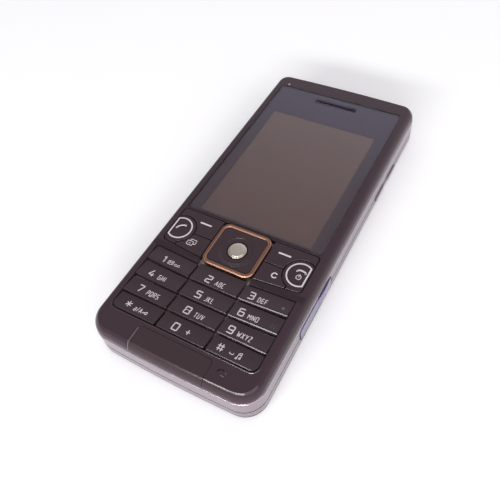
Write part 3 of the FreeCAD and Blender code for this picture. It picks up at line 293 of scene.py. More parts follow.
def above(tree, axis, level, soft=0.01):
    """A mask that is 1 where an object coordinate passes a level, in millimetres."""
    run = calc(tree, "SUBTRACT", object_axis(tree, axis), level * MM)
    return calc(tree, "DIVIDE", run, soft * MM, clamp=True)


def valley(tree, low, high, soft):
    """A mask that is 1 between two places along the handset, with soft ends."""
    place = object_axis(tree, "Y")
    rise = calc(tree, "DIVIDE", calc(tree, "SUBTRACT", place, low * MM), soft * MM, clamp=True)
    fall = calc(tree, "DIVIDE", calc(tree, "SUBTRACT", high * MM, place), soft * MM, clamp=True)
    return calc(tree, "MULTIPLY", rise, fall)


def length_of(tree, first, second):
    """The length of two runs at a right angle."""
    return calc(tree, "SQRT", calc(tree, "ADD", calc(tree, "MULTIPLY", first, first),
                                   calc(tree, "MULTIPLY", second, second)))


def ring_line(tree):
    """A mask of the line painted along the D-shaped ring of the call and end keys."""
    across = calc(tree, "SUBTRACT", calc(tree, "ABSOLUTE", object_axis(tree, "X")), RING_X * MM)
    along = calc(tree, "SUBTRACT", object_axis(tree, "Y"), NAV_Y * MM)
    curved = calc(tree, "GREATER_THAN", length_of(tree, across, along),
                  (RING_RADIUS - RING_LINE) * MM)
    straight = calc(tree, "GREATER_THAN", across, (RING_FLAT_X - RING_X - RING_LINE) * MM)
    return calc(tree, "MAXIMUM", curved, straight)


def frame_groove(tree):
    """A mask of the fine groove along the middle of the navigation key's frame."""
    reach = []
    for axis, middle, half in (("X", 0.0, FRAME_HALF_X), ("Y", NAV_Y, FRAME_HALF_Y)):
        off = calc(tree, "ABSOLUTE", calc(tree, "SUBTRACT", object_axis(tree, axis), middle * MM))
        reach.append(calc(tree, "SUBTRACT", off, (half - FRAME_CORNER) * MM))
    corner = length_of(tree, *(calc(tree, "MAXIMUM", run, 0.0) for run in reach))
    inner = calc(tree, "MINIMUM", calc(tree, "MAXIMUM", *reach), 0.0)
    edge = calc(tree, "SUBTRACT", calc(tree, "ADD", corner, inner), FRAME_CORNER * MM)
    off_line = calc(tree, "ABSOLUTE", calc(tree, "ADD", edge, FRAME_STROKE / 2 * MM))
    return calc(tree, "SUBTRACT", 1.0, calc(tree, "DIVIDE", off_line, GROOVE_HALF * MM, clamp=True),
                clamp=True)


# ---------------- finishes

def blank(name):
    """A new material, its tree and its skin."""
    material = bpy.data.materials.new(name)
    material.use_nodes = True
    return material, *opened(material)


def opened(material):
    """The tree and the skin of a material."""
    return material.node_tree, material.node_tree.nodes["Principled BSDF"]


def feed(skin, **inputs):
    """Gives the skin's inputs, by their names, their values or sources."""
    for label, value in inputs.items():
        plug(skin.inputs[label.replace("_", " ")], value)


def source_of(skin, label):
    """What feeds one of the skin's inputs so far."""
    return skin.inputs[label].links[0].from_socket


def shade(colour, factor):
    """A lighter or darker colour, no lighter than white."""
    return tuple(min(1.0, channel * factor) for channel in colour)


def toned(tree, colour, low, high, mask):
    """A colour that swings between a darker and a lighter shade of itself."""
    return mix(tree, shade(colour, low), shade(colour, high), mask)


def grained(name, colour, gloss, grain=9000.0, depth=2.0, spread=0.06, dust=0.03, edge=0.12,
            wear=0.5, swing=0.18):
    """The start of a plastic or a paint: grain, smudges and eased edges. It gives the material,
    and the sources of its grained colour, its dust and its worn edges."""
    material, tree, skin = blank(name)
    grains = effect(tree, "grain", Scale=grain)
    handling = effect(tree, "handling", Gloss=gloss, Spread=spread, Dust=dust)
    edges = effect(tree, "edge", Radius=edge * MM, Wear=wear)
    body = toned(tree, colour, 1.0 - swing, 1.0 + swing, grains["Tone"])
    feed(skin, Base_Color=body, Roughness=handling["Roughness"],
         Normal=raised_by(tree, grains["Height"], depth, edges["Normal"]))
    return material, body, handling["Dust"], edges["Worn"]


def moulded(name, colour, gloss, worn=1.6, coat=0.0, metallic=0.0, specular=0.5, **touch):
    """Plastic or paint with lightly polished edges, and a touch of its own."""
    material, body, specks, edge_band = grained(name, colour, gloss, **touch)
    tree, skin = opened(material)
    polished = mix(tree, body, shade(colour, worn), edge_band)
    feed(skin, Base_Color=mix(tree, polished, DUST, specks), Metallic=metallic, Coat_Weight=coat,
         Coat_Roughness=0.08, Specular_IOR_Level=specular)
    return material


def metal(name, colour, gloss, along=0.02, across=1.0, tarnish=0.75):
    """Metal with brushed lines, a little tarnish and bright edges."""
    material, tree, skin = blank(name)
    lines = effect(tree, "brushed", Along=along, Across=across)["Height"]
    handling = effect(tree, "handling", Gloss=gloss, Spread=0.1, Dust=0.0)
    edges = effect(tree, "edge", Radius=0.1 * MM, Wear=0.8)
    body = toned(tree, colour, tarnish, 1.1, lines)
    feed(skin, Base_Color=mix(tree, body, shade(colour, 1.35), edges["Worn"]), Metallic=1.0,
         Roughness=handling["Roughness"], Normal=raised_by(tree, lines, 1.5, edges["Normal"]))
    return material


def plum_shell():
    """The front cover: dull plum, polished along its edges, with painted shade
    in the valley between the function keys and the number keys."""
    material, body, specks, edge_band = grained("plum_shell", PLUM, 0.16, depth=0.8, spread=0.03,
                                             edge=0.14, wear=1.0, swing=0.14)
    tree, skin = opened(material)
    # Painted shade: the top of the shell is darkened in the valley below the function keys
    valley_shade = calc(tree, "MULTIPLY", valley(tree, VALLEY_LOW, VALLEY_HIGH, VALLEY_SOFT),
                above(tree, "Z", FACE_Z - VALLEY_REACH, VALLEY_FADE))
    shadowed = mix(tree, body, shade(PLUM, 0.3), calc(tree, "MULTIPLY", valley_shade, 0.7))
    duller = calc(tree, "MULTIPLY_ADD", valley_shade, 0.3, source_of(skin, "Roughness"))
    feed(skin, Base_Color=mix(tree, shadowed, DUST, specks), Specular_IOR_Level=0.3,
         Roughness=calc(tree, "MULTIPLY_ADD", edge_band, -0.05, duller))
    return material


def inlay_plastic():
    """The chin inlay: the shell's plum, with a painted highlight along its left edge."""
    material = moulded("gloss_inlay", PLUM_GLOSS, 0.26, specular=0.26, edge=0.1, worn=1.3)
    tree, skin = opened(material)
    # Painted highlight: a thin lighter line along the inlay's left edge
    edge_band = calc(tree, "SUBTRACT", 1.0, above(tree, "X", INLAY_EDGE))
    feed(skin, Base_Color=mix(tree, source_of(skin, "Base Color"), shade(LEGEND_INK, 0.2), edge_band))
    return material


def key_plastic():
    """The keys' plum, glossier than the shell and brighter along its edges."""
    return moulded("key_plastic", KEY_PLUM, 0.2, grain=7000.0, depth=0.6, worn=2.0, edge=0.06,
                   specular=0.36, spread=0.04)


def ringed_key_plastic():
    """The call and end keys: key plastic, with bright paint on the raised ring."""
    material, body, *_ = grained("ringed_key_plastic", KEY_PLUM, 0.28, grain=7000.0, depth=1.2,
                                 dust=0.02, edge=0.08)
    tree, skin = opened(material)
    ring = calc(tree, "MULTIPLY", above(tree, "Z", RAISED_RING_Z), ring_line(tree))
    feed(skin, Base_Color=mix(tree, body, LEGEND_INK, ring), Specular_IOR_Level=0.32)
    return material


def copper_trim():
    """The navigation frame: dull copper with a fine groove along its middle, bumped in and painted
    darker as shade, between two bright edges.
    """
    material = metal("copper_trim", COPPER, 0.36)
    tree, skin = opened(material)
    groove = frame_groove(tree)
    sunk = calc(tree, "SUBTRACT", 1.0, groove)
    # Painted shade: the copper darkens along the groove in the frame's middle
    feed(skin, Base_Color=mix(tree, source_of(skin, "Base Color"), shade(COPPER, 0.3), groove),
         Normal=raised_by(tree, sunk, 80, source_of(skin, "Normal")))
    return material


def silver_paint():
    """The band's silver paint, dark in the groove along the seam."""
    material = moulded("silver_paint", SILVER_PAINT, 0.26, grain=16000.0, depth=1.0, metallic=0.7,
                       worn=1.15, edge=0.1, dust=0.01, spread=0.03)
    tree, skin = opened(material)
    height = object_axis(tree, "Z")
    seam = calc(tree, "MULTIPLY", calc(tree, "GREATER_THAN", height, SEAM_LOW_Z * MM),
                calc(tree, "LESS_THAN", height, SEAM_HIGH_Z * MM))
    feed(skin, Base_Color=mix(tree, source_of(skin, "Base Color"), SEAM_SHADOW, seam))
    return material


def clear_glass(name, colour, gloss=0.03):
    """Clear window or lens glass with faint smears."""
    material, tree, skin = blank(name)
    smears = effect(tree, "handling", Gloss=gloss, Spread=0.03, Dust=0.0)["Roughness"]
    feed(skin, Base_Color=toned(tree, colour, 1.0, 1.05, smears), Roughness=smears, IOR=1.49,
         Transmission_Weight=1.0)
    return material


def crossed_waves(tree, scale):
    """Two sets of lines that cross, as a pair of sources."""
    return [pattern(tree, "ShaderNodeTexWave", bands_direction=axis, in_Scale=scale)["Fac"]
            for axis in "XY"]


def screen():
    """The unlit display: fine pixel lines on its face, and its metal tray below."""
    material, tree, skin = blank("screen")
    cloud = pattern(tree, "ShaderNodeTexNoise", in_Scale=60.0, in_Detail=3.0)["Fac"]
    pixels = calc(tree, "MULTIPLY", *crossed_waves(tree, 2200.0))
    face = mix(tree, toned(tree, SCREEN_BROWN, 0.88, 1.1, cloud), shade(SCREEN_BROWN, 0.7),
               calc(tree, "MULTIPLY", pixels, 0.25))
    tray = mix(tree, (0.5, 0.5, 0.52), (0.62, 0.62, 0.63), cloud)
    panel = above(tree, "Z", SCREEN_FACE_Z)
    feed(skin, Base_Color=mix(tree, tray, face, panel),
         Roughness=calc(tree, "MULTIPLY_ADD", cloud, 0.1, 0.3),
         Metallic=calc(tree, "MULTIPLY_ADD", panel, -0.9, 0.9))
    return material


def woven(name, colour, pitch, gloss):
    """A fine woven mesh: two crossed sets of threads with dark holes between."""
    material, tree, skin = blank(name)
    threads = calc(tree, "MAXIMUM", *crossed_waves(tree, 1.0 / (pitch * MM)))
    feed(skin, Base_Color=toned(tree, colour, 0.08, 1.0, threads),
         Roughness=calc(tree, "MULTIPLY_ADD", threads, -0.2, gloss + 0.2),
         Normal=raised_by(tree, threads, 40))
    return material


def circuit_board():
    """Green solder mask with faint traces and gold pads."""
    material, tree, skin = blank("circuit_board")
    traces = pattern(tree, "ShaderNodeTexBrick", in_Scale=420.0, in_Mortar_Size=0.018,
                     in_Color1=(0.010, 0.085, 0.030, 1.0), in_Color2=(0.013, 0.10, 0.036, 1.0),
                     in_Mortar=(0.03, 0.19, 0.07, 1.0))
    pads = pattern(tree, "ShaderNodeTexVoronoi", distance="CHEBYCHEV", in_Scale=520.0,
                   in_Randomness=0.6)
    spot = calc(tree, "LESS_THAN", pads["Distance"], 0.16)
    feed(skin, Base_Color=mix(tree, traces["Color"], (0.75, 0.52, 0.18), spot),
         Roughness=calc(tree, "MULTIPLY_ADD", spot, -0.1, 0.35),
         Metallic=calc(tree, "MULTIPLY", spot, 0.9), Normal=raised_by(tree, traces["Fac"], 20))
    return material


def two_part(name, axis, level, low, high):
    """One node in two finishes, split at a level. A finish is (colour, gloss, metallic)."""
    material, tree, skin = blank(name)
    grain = effect(tree, "grain", Scale=5000.0)
    past = above(tree, axis, level)
    gloss, metallic = (calc(tree, "MULTIPLY_ADD", past, upper - lower, lower)
                       for lower, upper in zip(low[1:], high[1:]))
    body = toned(tree, low[0], 0.85, 1.1, grain["Tone"])
    feed(skin, Base_Color=mix(tree, body, high[0], past), Roughness=gloss, Metallic=metallic,
         Normal=raised_by(tree, grain["Height"], 3))
    return material


def ink_finish(name, colour):
    """Printed ink, and the painted highlight in faint ink: a little uneven, with fine grain."""
    material, tree, skin = blank(name)
    grain = effect(tree, "grain", Scale=12000.0)
    feed(skin, Base_Color=toned(tree, colour, 0.86, 1.08, grain["Tone"]),
         Roughness=calc(tree, "MULTIPLY_ADD", grain["Tone"], 0.12, 0.34),
         Normal=raised_by(tree, grain["Height"], 1))
    return material


def print_finish():
    """The window's back print: plum by the keys, and lighter and bluer towards the earpiece as a
    painted reflection.
    """
    material, tree, skin = blank("window_back_print")
    tone = effect(tree, "grain", Scale=3000.0)["Tone"]
    # Painted reflection: the print turns lighter and bluer towards the earpiece, over its mottled
    # tone
    reflection_climb = calc(tree, "SUBTRACT", above(tree, "Y", PRINT_FADE_Y, PRINT_FADE_RUN), 0.1)
    mottle_and_reflection = calc(tree, "MULTIPLY_ADD", tone, 0.2, reflection_climb, clamp=True)
    feed(skin, Base_Color=mix(tree, PRINT_LOW, PRINT_REFLECTED, mottle_and_reflection),
         Roughness=calc(tree, "MULTIPLY_ADD", tone, 0.1, 0.5))
    return material


def finish_table():
    """Pairs of a finish and the CAD nodes that wear it."""
    keys = key_plastic()
    number_keys = " ".join(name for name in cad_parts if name.startswith("key_"))
    steel = metal("stamped_steel", (0.56, 0.56, 0.57), 0.34)
    black = moulded("black_moulding", BLACK, 0.5, grain=4000.0, depth=6)
    return [
        (plum_shell(), "front_cover"),
        (inlay_plastic(), "chin_plate"),
        (keys, number_keys),
        (keys, "nav_pad right_soft_key left_soft_key clear_key activity_key"),
        (ringed_key_plastic(), "end_key call_key"),
        (copper_trim(), "nav_frame select_key"),
        (silver_paint(), "mid_frame back_housing volume_rocker"),
        (moulded("lilac_paint", (0.15, 0.12, 0.27), 0.28, grain=15000.0, depth=0.6, spread=0.03,
                 worn=1.5, coat=0.4, metallic=0.4, dust=0.0), "shutter_key"),
        (moulded("soft_back", (0.05, 0.036, 0.046), 0.55, grain=5200.0, depth=10),
         "battery_cover"),
        (metal("slider_metal", (0.30, 0.28, 0.30), 0.32, across=0.02, along=1.0), "lens_cover"),
        (metal("lens_ring_metal", (0.62, 0.60, 0.62), 0.2), "camera_ring"),
        (clear_glass("window_glass", (0.95, 0.96, 1.0)), "display_window"),
        (clear_glass("camera_glass", (0.92, 0.95, 1.0)), "camera_window"),
        (clear_glass("flash_glass", (0.96, 0.96, 0.93), 0.12), "flash_window"),
        (two_part("flash_lamps", "Z", FLASH_LENS_Z, ((0.85, 0.62, 0.12), 0.35, 0.0),
                  ((0.75, 0.75, 0.72), 0.4, 0.0)), "flash_leds"),
        # The sensor's cap is painted pale grey: a milky window with a painted glint on it
        (moulded("sensor_cap_and_glint", (0.26, 0.23, 0.25), 0.14, specular=0.6), "sensor_lens"),
        (woven("earpiece_weave", (0.012, 0.010, 0.015), EAR_WEAVE_PITCH, 0.7), "earpiece_mesh"),
        (screen(), "display_module"),
        (moulded("foam", (0.018, 0.018, 0.018), 0.85, grain=3000.0, depth=30), "display_gasket"),
        (circuit_board(), "main_board"),
        (two_part("dome_sheet", "Z", DOME_BASE_Z, ((0.55, 0.56, 0.5), 0.4, 0.0),
                  ((0.66, 0.66, 0.68), 0.25, 1.0)), "dome_sheet"),
        (moulded("silicone_mat", (0.62, 0.62, 0.60), 0.5, grain=2500.0), "keypad_mat"),
        (moulded("cell_wrap", (0.52, 0.53, 0.55), 0.38, grain=3000.0, metallic=0.3), "battery"),
        (two_part("contact_block", "Y", FINGER_ROOT_Y, (GOLD, 0.3, 1.0), (BLACK, 0.5, 0.0)),
         "battery_contacts"),
        (moulded("card_stock", (0.78, 0.76, 0.70), 0.5), "sim_card"),
        (metal("sintered_weight", (0.32, 0.32, 0.34), 0.5), "vibration_weight"),
        (moulded("connector_moulding", (0.075, 0.08, 0.13), 0.45), "side_connector"),
        (steel, "chassis_plate shield_cans microphone sim_holder memory_holder"),
        (steel, "vibration_motor housing_screws"),
        (black, "camera_module lens_barrel loudspeaker earpiece nav_carrier"),
        (black, "memory_card antenna_carrier"),
    ]


def dress_nodes():
    """Gives every CAD node its finish."""
    for material, names in finish_table():
        for name in names.split():
            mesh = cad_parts[name].data
            if not mesh.materials:
                mesh.materials.append(material)
            for index in range(len(mesh.materials)):
                mesh.materials[index] = material


# ---------------- making pieces

def as_object(name, mesh, material, smooth=False):
    """Turns a bmesh into an object of one finish."""
    data = bpy.data.meshes.new(name)
    mesh.to_mesh(data)
    mesh.free()
    data.materials.append(material)
    for polygon in data.polygons:
        polygon.use_smooth = smooth
    thing = bpy.data.objects.new(name, data)
    bpy.context.scene.collection.objects.link(thing)
    return thing


def as_piece(name, mesh, body, material, smooth=False):
    """Turns a bmesh into a piece that rides on a body, with its faces outwards."""
    bmesh.ops.recalc_face_normals(mesh, faces=mesh.faces)
    piece = as_object(name, mesh, material, smooth)
    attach(piece, body)
    return piece


def spaced(middle, pitch, count):
    """Even places about a middle."""
    return [middle + (index - (count - 1) / 2) * pitch for index in range(count)]


# ---------------- key legends

# Each sign's width, and its strokes in a box one unit high: a stroke is points "x,y",
# z closes it, and a ; comes before the next
SIGNS = {
    "0": (0.82, "0,0 .82,0 .82,1 0,1 z"),
    "1": (0.36, ".05,.78 .34,1 .34,0"),
    "2": (0.80, "0,1 .8,1 .8,.56 0,.44 0,0 .8,0"),
    "3": (0.80, "0,1 .8,1 .8,.52 .15,.52; .72,.52 .8,.5 .8,0 0,0"),
    "4": (0.84, ".52,1 0,.26 .84,.26; .62,.5 .62,0"),
    "5": (0.80, ".8,1 0,1 0,.56 .8,.56 .8,0 0,0"),
    "6": (0.80, ".74,1 0,1 0,0 .8,0 .8,.56 0,.56"),
    "7": (0.78, "0,1 .78,1 .3,0"),
    "8": (0.82, "0,.53 .82,.53 .82,1 0,1 z; 0,.53 .82,.53 .82,0 0,0 z"),
    "9": (0.80, "0,0 .8,0 .8,1 0,1 0,.46 .8,.46"),
    "*": (0.86, ".43,.1 .43,1; 0,.32 .86,.78; 0,.78 .86,.32"),
    "#": (0.80, ".24,0 .24,1; .68,0 .68,1; 0,.3 .92,.3; 0,.72 .92,.72"),
    "+": (0.66, "0,.45 .66,.45; .33,.12 .33,.78"),
    "A": (0.70, "0,0 .35,1 .7,0; .14,.34 .56,.34"),
    "B": (0.62, "0,0 0,1 .55,1 .55,.53 0,.53; 0,.53 .62,.53 .62,0 0,0"),
    "C": (0.62, ".62,1 0,1 0,0 .62,0"),
    "D": (0.64, "0,0 0,.08 0,.92 0,1 .08,1 .4,1 .66,.74 .66,.26 .4,0 .08,0 z"),
    "E": (0.56, ".56,1 0,1 0,0 .56,0; 0,.52 .5,.52"),
    "F": (0.56, ".56,1 0,1 0,0; 0,.5 .5,.5"),
    "G": (0.66, ".62,1 0,1 0,0 .66,0 .66,.5 .35,.5"),
    "H": (0.62, "0,0 0,1; .62,0 .62,1; 0,.5 .62,.5"),
    "I": (0.10, ".05,0 .05,1"),
    "J": (0.46, ".46,1 .46,0 0,0"),
    "K": (0.62, "0,0 0,1; .6,1 .05,.5 .62,0"),
    "L": (0.52, "0,1 0,0 .52,0"),
    "M": (0.78, "0,0 0,1 .39,.4 .78,1 .78,0"),
    "N": (0.64, "0,0 0,1 .64,0 .64,1"),
    "O": (0.68, "0,0 .68,0 .68,1 0,1 z"),
    "P": (0.60, "0,0 0,1 .6,1 .6,.45 0,.45"),
    "Q": (0.68, "0,0 .68,0 .68,1 0,1 z; .45,.25 .72,-.08"),
    "R": (0.62, "0,0 0,1 .6,1 .6,.48 0,.48; .3,.48 .62,0"),
    "S": (0.60, ".6,1 0,1 0,.54 .6,.46 .6,0 0,0"),
    "T": (0.64, "0,1 .64,1; .32,1 .32,0"),
    "U": (0.64, "0,1 0,0 .64,0 .64,1"),
    "V": (0.66, "0,1 .33,0 .66,1"),
    "W": (0.90, "0,1 .22,0 .45,.75 .68,0 .9,1"),
    "X": (0.64, "0,0 .64,1; 0,1 .64,0"),
    "Y": (0.64, "0,1 .32,.48 .64,1; .32,.48 .32,0"),
    "Z": (0.62, "0,1 .62,1 0,0 .62,0"),
    "a": (0.50, "0,.72 .5,.72 .5,0 0,0 0,.38 .5,.38"),
    "/": (0.36, "0,0 .36,1"),
    "mail": (1.30, "0,.1 1.2,.1 1.2,.9 0,.9 z; 0,.9 .6,.42 1.2,.9; 0,.1 .42,.55; 1.2,.1 .78,.55"),
    "tape": (1.20, "0,.1 .4,.1 .4,.5 0,.5 z; .75,.1 1.15,.1 1.15,.5 .75,.5 z; .2,.1 .95,.1"),
    "lock": (1.30, "0,.45 .75,.45; 0,.45 0,.15; .28,.45 .28,.2; .75,.2 1.25,.2 1.25,.7 .75,.7 z"),
    "space": (1.15, "0,.6 0,.35 .8,.35 .8,.6"),
    "note": (0.90, ".2,.15 .2,.95 .85,1.1 .85,.3; 0,0 .25,0 .25,.22 0,.22 z; "
                   ".62,.15 .9,.15 .9,.38 .62,.38 z; .2,.7 .85,.85"),
    "windows": (1.50, "0,0 1,0 1,.75 0,.75 z; .35,.75 .35,1.1 1.4,1.1 1.4,.35 1,.35; "
                      ".3,.35 .65,.35"),
    "dash": (1.00, "0,0 1,0"),
    "c": (0.95, ".85,.78 .62,1 .3,1 0,.72 0,.28 .3,0 .62,0 .9,.24"),
    "call": (1.00, "0,0 .2,.22 .5,.36 .8,.38 1,.34; 0,-.02 .14,.1; 1,.26 .88,.36"),
    "handset": (1.00, "0,.04 .14,.24 .5,.31 .86,.24 1,.04; 0,.02 .12,.16; 1,.02 .88,.16"),
    "dot": (0.30, "0,0 .3,0 .3,.3 0,.3 z"),
    "speck": (0.20, "0,0 .2,0"),
    "power": (1.00, ".2,.05 .8,.05 1,.5 .8,.95 .2,.95 0,.5 z; .5,.45 .5,1.25"),
}

# Sizes of the signs: height, stroke and width factor
DIGIT, STAR, LETTERS = (2.0, 0.35, 0.88), (2.0, 0.27, 0.88), (1.4, 0.22, 0.63)
PLUS, PICTURE, TUNE = (2.1, 0.28, 0.75), (1.45, 0.17, 0.85), (1.7, 0.2, 0.68)


def legend_points(stroke):
    """A stroke's points, with a spare point each side of every corner it rounds."""
    words = stroke.split()
    closed = words[-1] == "z"
    corners = [Vector((*map(float, word.split(",")), 0.0)) for word in words if word != "z"]
    points = []
    for index, here in enumerate(corners):
        if not closed and index in (0, len(corners) - 1):
            points.append(here)
            continue
        before = corners[index - 1] - here
        after = corners[(index + 1) % len(corners)] - here
        near = [here + leg.normalized() * min(INK_CORNER, leg.length * INK_CORNER_SHARE)
                for leg in (before, after)]
        points += [near[0], here, near[1]]
    return points, closed


def draw_sign(curve, sign, start, high, wide):
    """Adds one sign's strokes to a curve and returns its width."""
    run, strokes = SIGNS[sign]
    for stroke in strokes.split(";"):
        points, closed = legend_points(stroke)
        line = curve.splines.new("NURBS")
        line.points.add(len(points) - 1)
        for knot, point in zip(line.points, points):
            knot.co = ((start + point.x * high * wide) * MM, point.y * high * MM, 0.0, 1.0)
        line.order_u = 3
        line.use_endpoint_u = not closed
        line.use_cyclic_u = closed
        line.resolution_u = 3
    return run * high * wide


def sign_row(signs, high, stroke, wide):
    """A row of signs as a mesh of thin round strokes, from the row's left end."""
    curve = bpy.data.curves.new("ink", "CURVE")
    curve.dimensions = "3D"
    curve.bevel_depth = stroke / 2 * MM
    curve.bevel_resolution = 1
    curve.use_fill_caps = True
    run = 0.0
    for sign in signs:
        run += draw_sign(curve, sign, run, high, wide) + high * INK_SPACING
    holder = bpy.data.objects.new("ink", curve)
    bpy.context.scene.collection.objects.link(holder)
    bpy.context.view_layer.update()
    row = bpy.data.meshes.new_from_object(holder)
    bpy.data.objects.remove(holder)
    return row


def surface_of(node):
    """The upper side of a CAD node, for laying ink on."""
    shape = bmesh.new()
    shape.from_mesh(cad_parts[node].data)
    tree = BVHTree.FromBMesh(shape)
    shape.free()
    return tree


def inked(name, node, body, marks, material, turn=0.0):
    """Printed signs and painted highlights as a thin raised skin that follows the top of a node.
    A mark is (signs, x, y, height, stroke, width factor), in millimetres."""
    mesh = bmesh.new()
    for signs, x, y, high, stroke, wide in marks:
        row = sign_row(signs, high, stroke, wide)
        row.transform(Matrix.Translation((x * MM, y * MM, 0.0))
                      @ Matrix.Rotation(math.radians(turn), 4, "Z"))
        mesh.from_mesh(row)
        bpy.data.meshes.remove(row)
    top = surface_of(node)
    for vertex in mesh.verts:
        overhead = Vector((vertex.co.x, vertex.co.y, RAY_START_Z * MM))
        hit = top.ray_cast(overhead, Vector((0, 0, -1)))[0]
        level = hit.z if hit is not None else FACE_Z * MM
        vertex.co.z = level + vertex.co.z * INK_FLATNESS + INK_LIFT * MM
    as_piece(name, mesh, body, material, smooth=True)


def number_legends(ink, faint):
    """Digits and letters of the twelve number keys, and the dots beside two of them.
    A row is a key, its sign with size and x, its small signs with size and x, the y of both
    and the turn in degrees."""
    rows = [
        ("key_1", "1", DIGIT, -16.2, ["mail", "tape"], PICTURE, -14.4, -29.85, 3.0),
        ("key_2", "2", DIGIT, -2.75, "ABC", LETTERS, 0.1, -30.15, 0.0),
        ("key_3", "3", DIGIT, 9.3, "DEF", LETTERS, 11.95, -29.75, 3.0),
        ("key_4", "4", DIGIT, -17.0, "GHI", LETTERS, -14.0, -34.85, 1.7),
        ("key_5", "5", DIGIT, -2.75, "JKL", LETTERS, 0.1, -35.0, 0.0),
        ("key_6", "6", DIGIT, 9.3, "MNO", LETTERS, 11.95, -34.75, 1.7),
        ("key_7", "7", DIGIT, -16.95, "PQRS", LETTERS, -14.0, -39.8, 0.0),
        ("key_8", "8", DIGIT, -2.8, "TUV", LETTERS, 0.1, -39.9, 0.0),
        ("key_9", "9", DIGIT, 9.3, "WXYZ", LETTERS, 11.95, -39.8, 0.0),
        ("key_star", "*", STAR, -17.0, ["a", "/", "A", "lock"], LETTERS, -14.2, -44.75, 0.0),
        ("key_0", "0", DIGIT, -2.95, "+", PLUS, 0.75, -44.85, 0.0),
        ("key_hash", "#", STAR, 9.3, ["space", "note"], TUNE, 12.7, -44.75, 0.0),
    ]
    for name, sign, size, x, signs, small_size, small_x, y, turn in rows:
        marks = [(sign, x, y, *size), (signs, small_x, y, *small_size)]
        inked(name + "_legend", name, name, marks, ink, turn)
    inked("key_3_mark", "key_3", "key_3", [(["dot"], 18.25, -28.75, 1.0, 0.42, 1.0)], faint)
    specks = [(["speck"], x, y, 1.0, 0.22, 1.0) for x in (18.0, 18.7) for y in (-34.2, -33.5)]
    inked("key_6_mark", "key_6", "key_6", specks, faint)


def function_legends(ink):
    """Dashes, pictograms and letter of the keys round the navigation key."""
    rows = [
        ("left_soft", "left_soft_key", [(["dash"], -13.7, -14.6, 3.5, 0.5, 1.0)], 0.0),
        ("right_soft", "right_soft_key", [(["dash"], 10.05, -14.6, 3.5, 0.5, 1.0)], 0.0),
        ("activity", "activity_key", [(["windows"], -13.5, -22.3, 1.7, 0.2, 1.0)], 0.0),
        ("clear", "clear_key", [("c", 11.55, -21.95, 1.35, 0.36, 1.1)], 0.0),
        ("call", "call_key", [(["call"], -18.9, -19.0, 2.75, 0.44, 1.0)], 20.0),
        ("end", "end_key", [(["handset"], 16.6, -17.95, 2.65, 0.44, 1.0),
                            (["power"], 17.2, -19.95, 1.35, 0.2, 1.0)], 0.0),
    ]
    for name, key, marks, turn in rows:
        inked(name + "_legend", key, key, marks, ink, turn)


# ---------------- turned pieces

def turned(name, body, profile, centre, material, sides):
    """A round piece spun from a profile of radius and height pairs, in millimetres."""
    mesh = bmesh.new()
    middle = Vector((*centre, 0.0)) * MM
    corners = [bmesh.ops.create_vert(mesh, co=middle + Vector((radius, 0.0, z)) * MM)["vert"][0]
               for radius, z in profile]
    lines = [mesh.edges.new(pair) for pair in zip(corners, corners[1:])]
    bmesh.ops.spin(mesh, geom=corners + lines, cent=middle, axis=(0, 0, 1), angle=math.tau,
                   steps=sides, use_merge=True)
    bmesh.ops.remove_doubles(mesh, verts=mesh.verts, dist=MICRON)
    return as_piece(name, mesh, body, material, smooth=True)


def select_key_cap():
    """The select key: a flat crown, a fine groove and a lip that catches the light."""
    profile = [(0, 12.45), (1.3, 12.445), (1.95, 12.41), (2.12, 12.33), (2.16, 12.2), (2.2, 12.1),
               (2.32, 12.09), (2.46, 12.02), (2.5, 11.9), (2.5, 10.5), (0, 10.5)]
    champagne = metal("champagne_metal", (0.62, 0.54, 0.47), 0.36, tarnish=0.85)
    piece = turned("select_key_cap", "select_key", profile, (0, NAV_Y), champagne,
                   48)
    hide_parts("select_key")


def lens_parts():
    """The front lens element, domed, and the fine steps of the barrel round it."""
    dome = [(0, 2.3), (0.45, 2.32), (0.85, 2.39), (1.15, 2.5), (1.22, 2.58), (1.22, 2.7), (0, 2.7)]
    steps = [(1.4, 1.95), (1.4, 1.9), (1.68, 1.9), (1.72, 1.93), (1.95, 1.93), (1.99, 1.9),
             (2.38, 1.9), (2.44, 1.95), (1.4, 1.95)]
    centre = (CAMERA_X, CAMERA_Y)
    turned("lens_element", "lens_barrel", dome, centre,
           clear_glass("coated_glass", (0.62, 0.55, 0.8)), 32)
    turned("barrel_steps", "lens_barrel", steps, centre,
           metal("barrel_metal", (0.12, 0.12, 0.13), 0.3), 48)


def dish_rings(material):
    """Two fine lips round the navigation key's dish, whose far walls catch the light."""
    outer = [(5.2, 12.12), (5.12, 12.2), (5.04, 12.22), (4.8, 12.0), (4.8, 11.95), (5.2, 11.95)]
    inner = [(4.34, 11.95), (4.26, 12.1), (4.16, 12.12), (3.92, 11.9), (3.92, 11.8), (4.34, 11.8)]
    for name, profile in (("dish_ring_outer", outer), ("dish_ring_inner", inner)):
        turned(name, "nav_key", profile + profile[:1], (0, NAV_Y), material, 56)


# ---------------- flat rings

def flat_sheet(across, along, z):
    """A flat rectangle over two spans at one height, in millimetres."""
    mesh = bmesh.new()
    bmesh.ops.create_grid(mesh, x_segments=1, y_segments=1, size=0.5)
    for vertex in mesh.verts:
        vertex.co = (across[vertex.co.x > 0] * MM, along[vertex.co.y > 0] * MM, z * MM)
    return mesh


def round_end(mesh, upper, radius, segments):
    """Rounds the two corners at the upper or the lower end of a flat sheet."""
    end = (max if upper else min)(vertex.co.y for vertex in mesh.verts)
    corners = [vertex for vertex in mesh.verts if abs(vertex.co.y - end) < MICRON]
    bmesh.ops.bevel(mesh, geom=corners, offset=radius * MM, affect="VERTICES", segments=segments,
                    profile=0.5, material=-1)


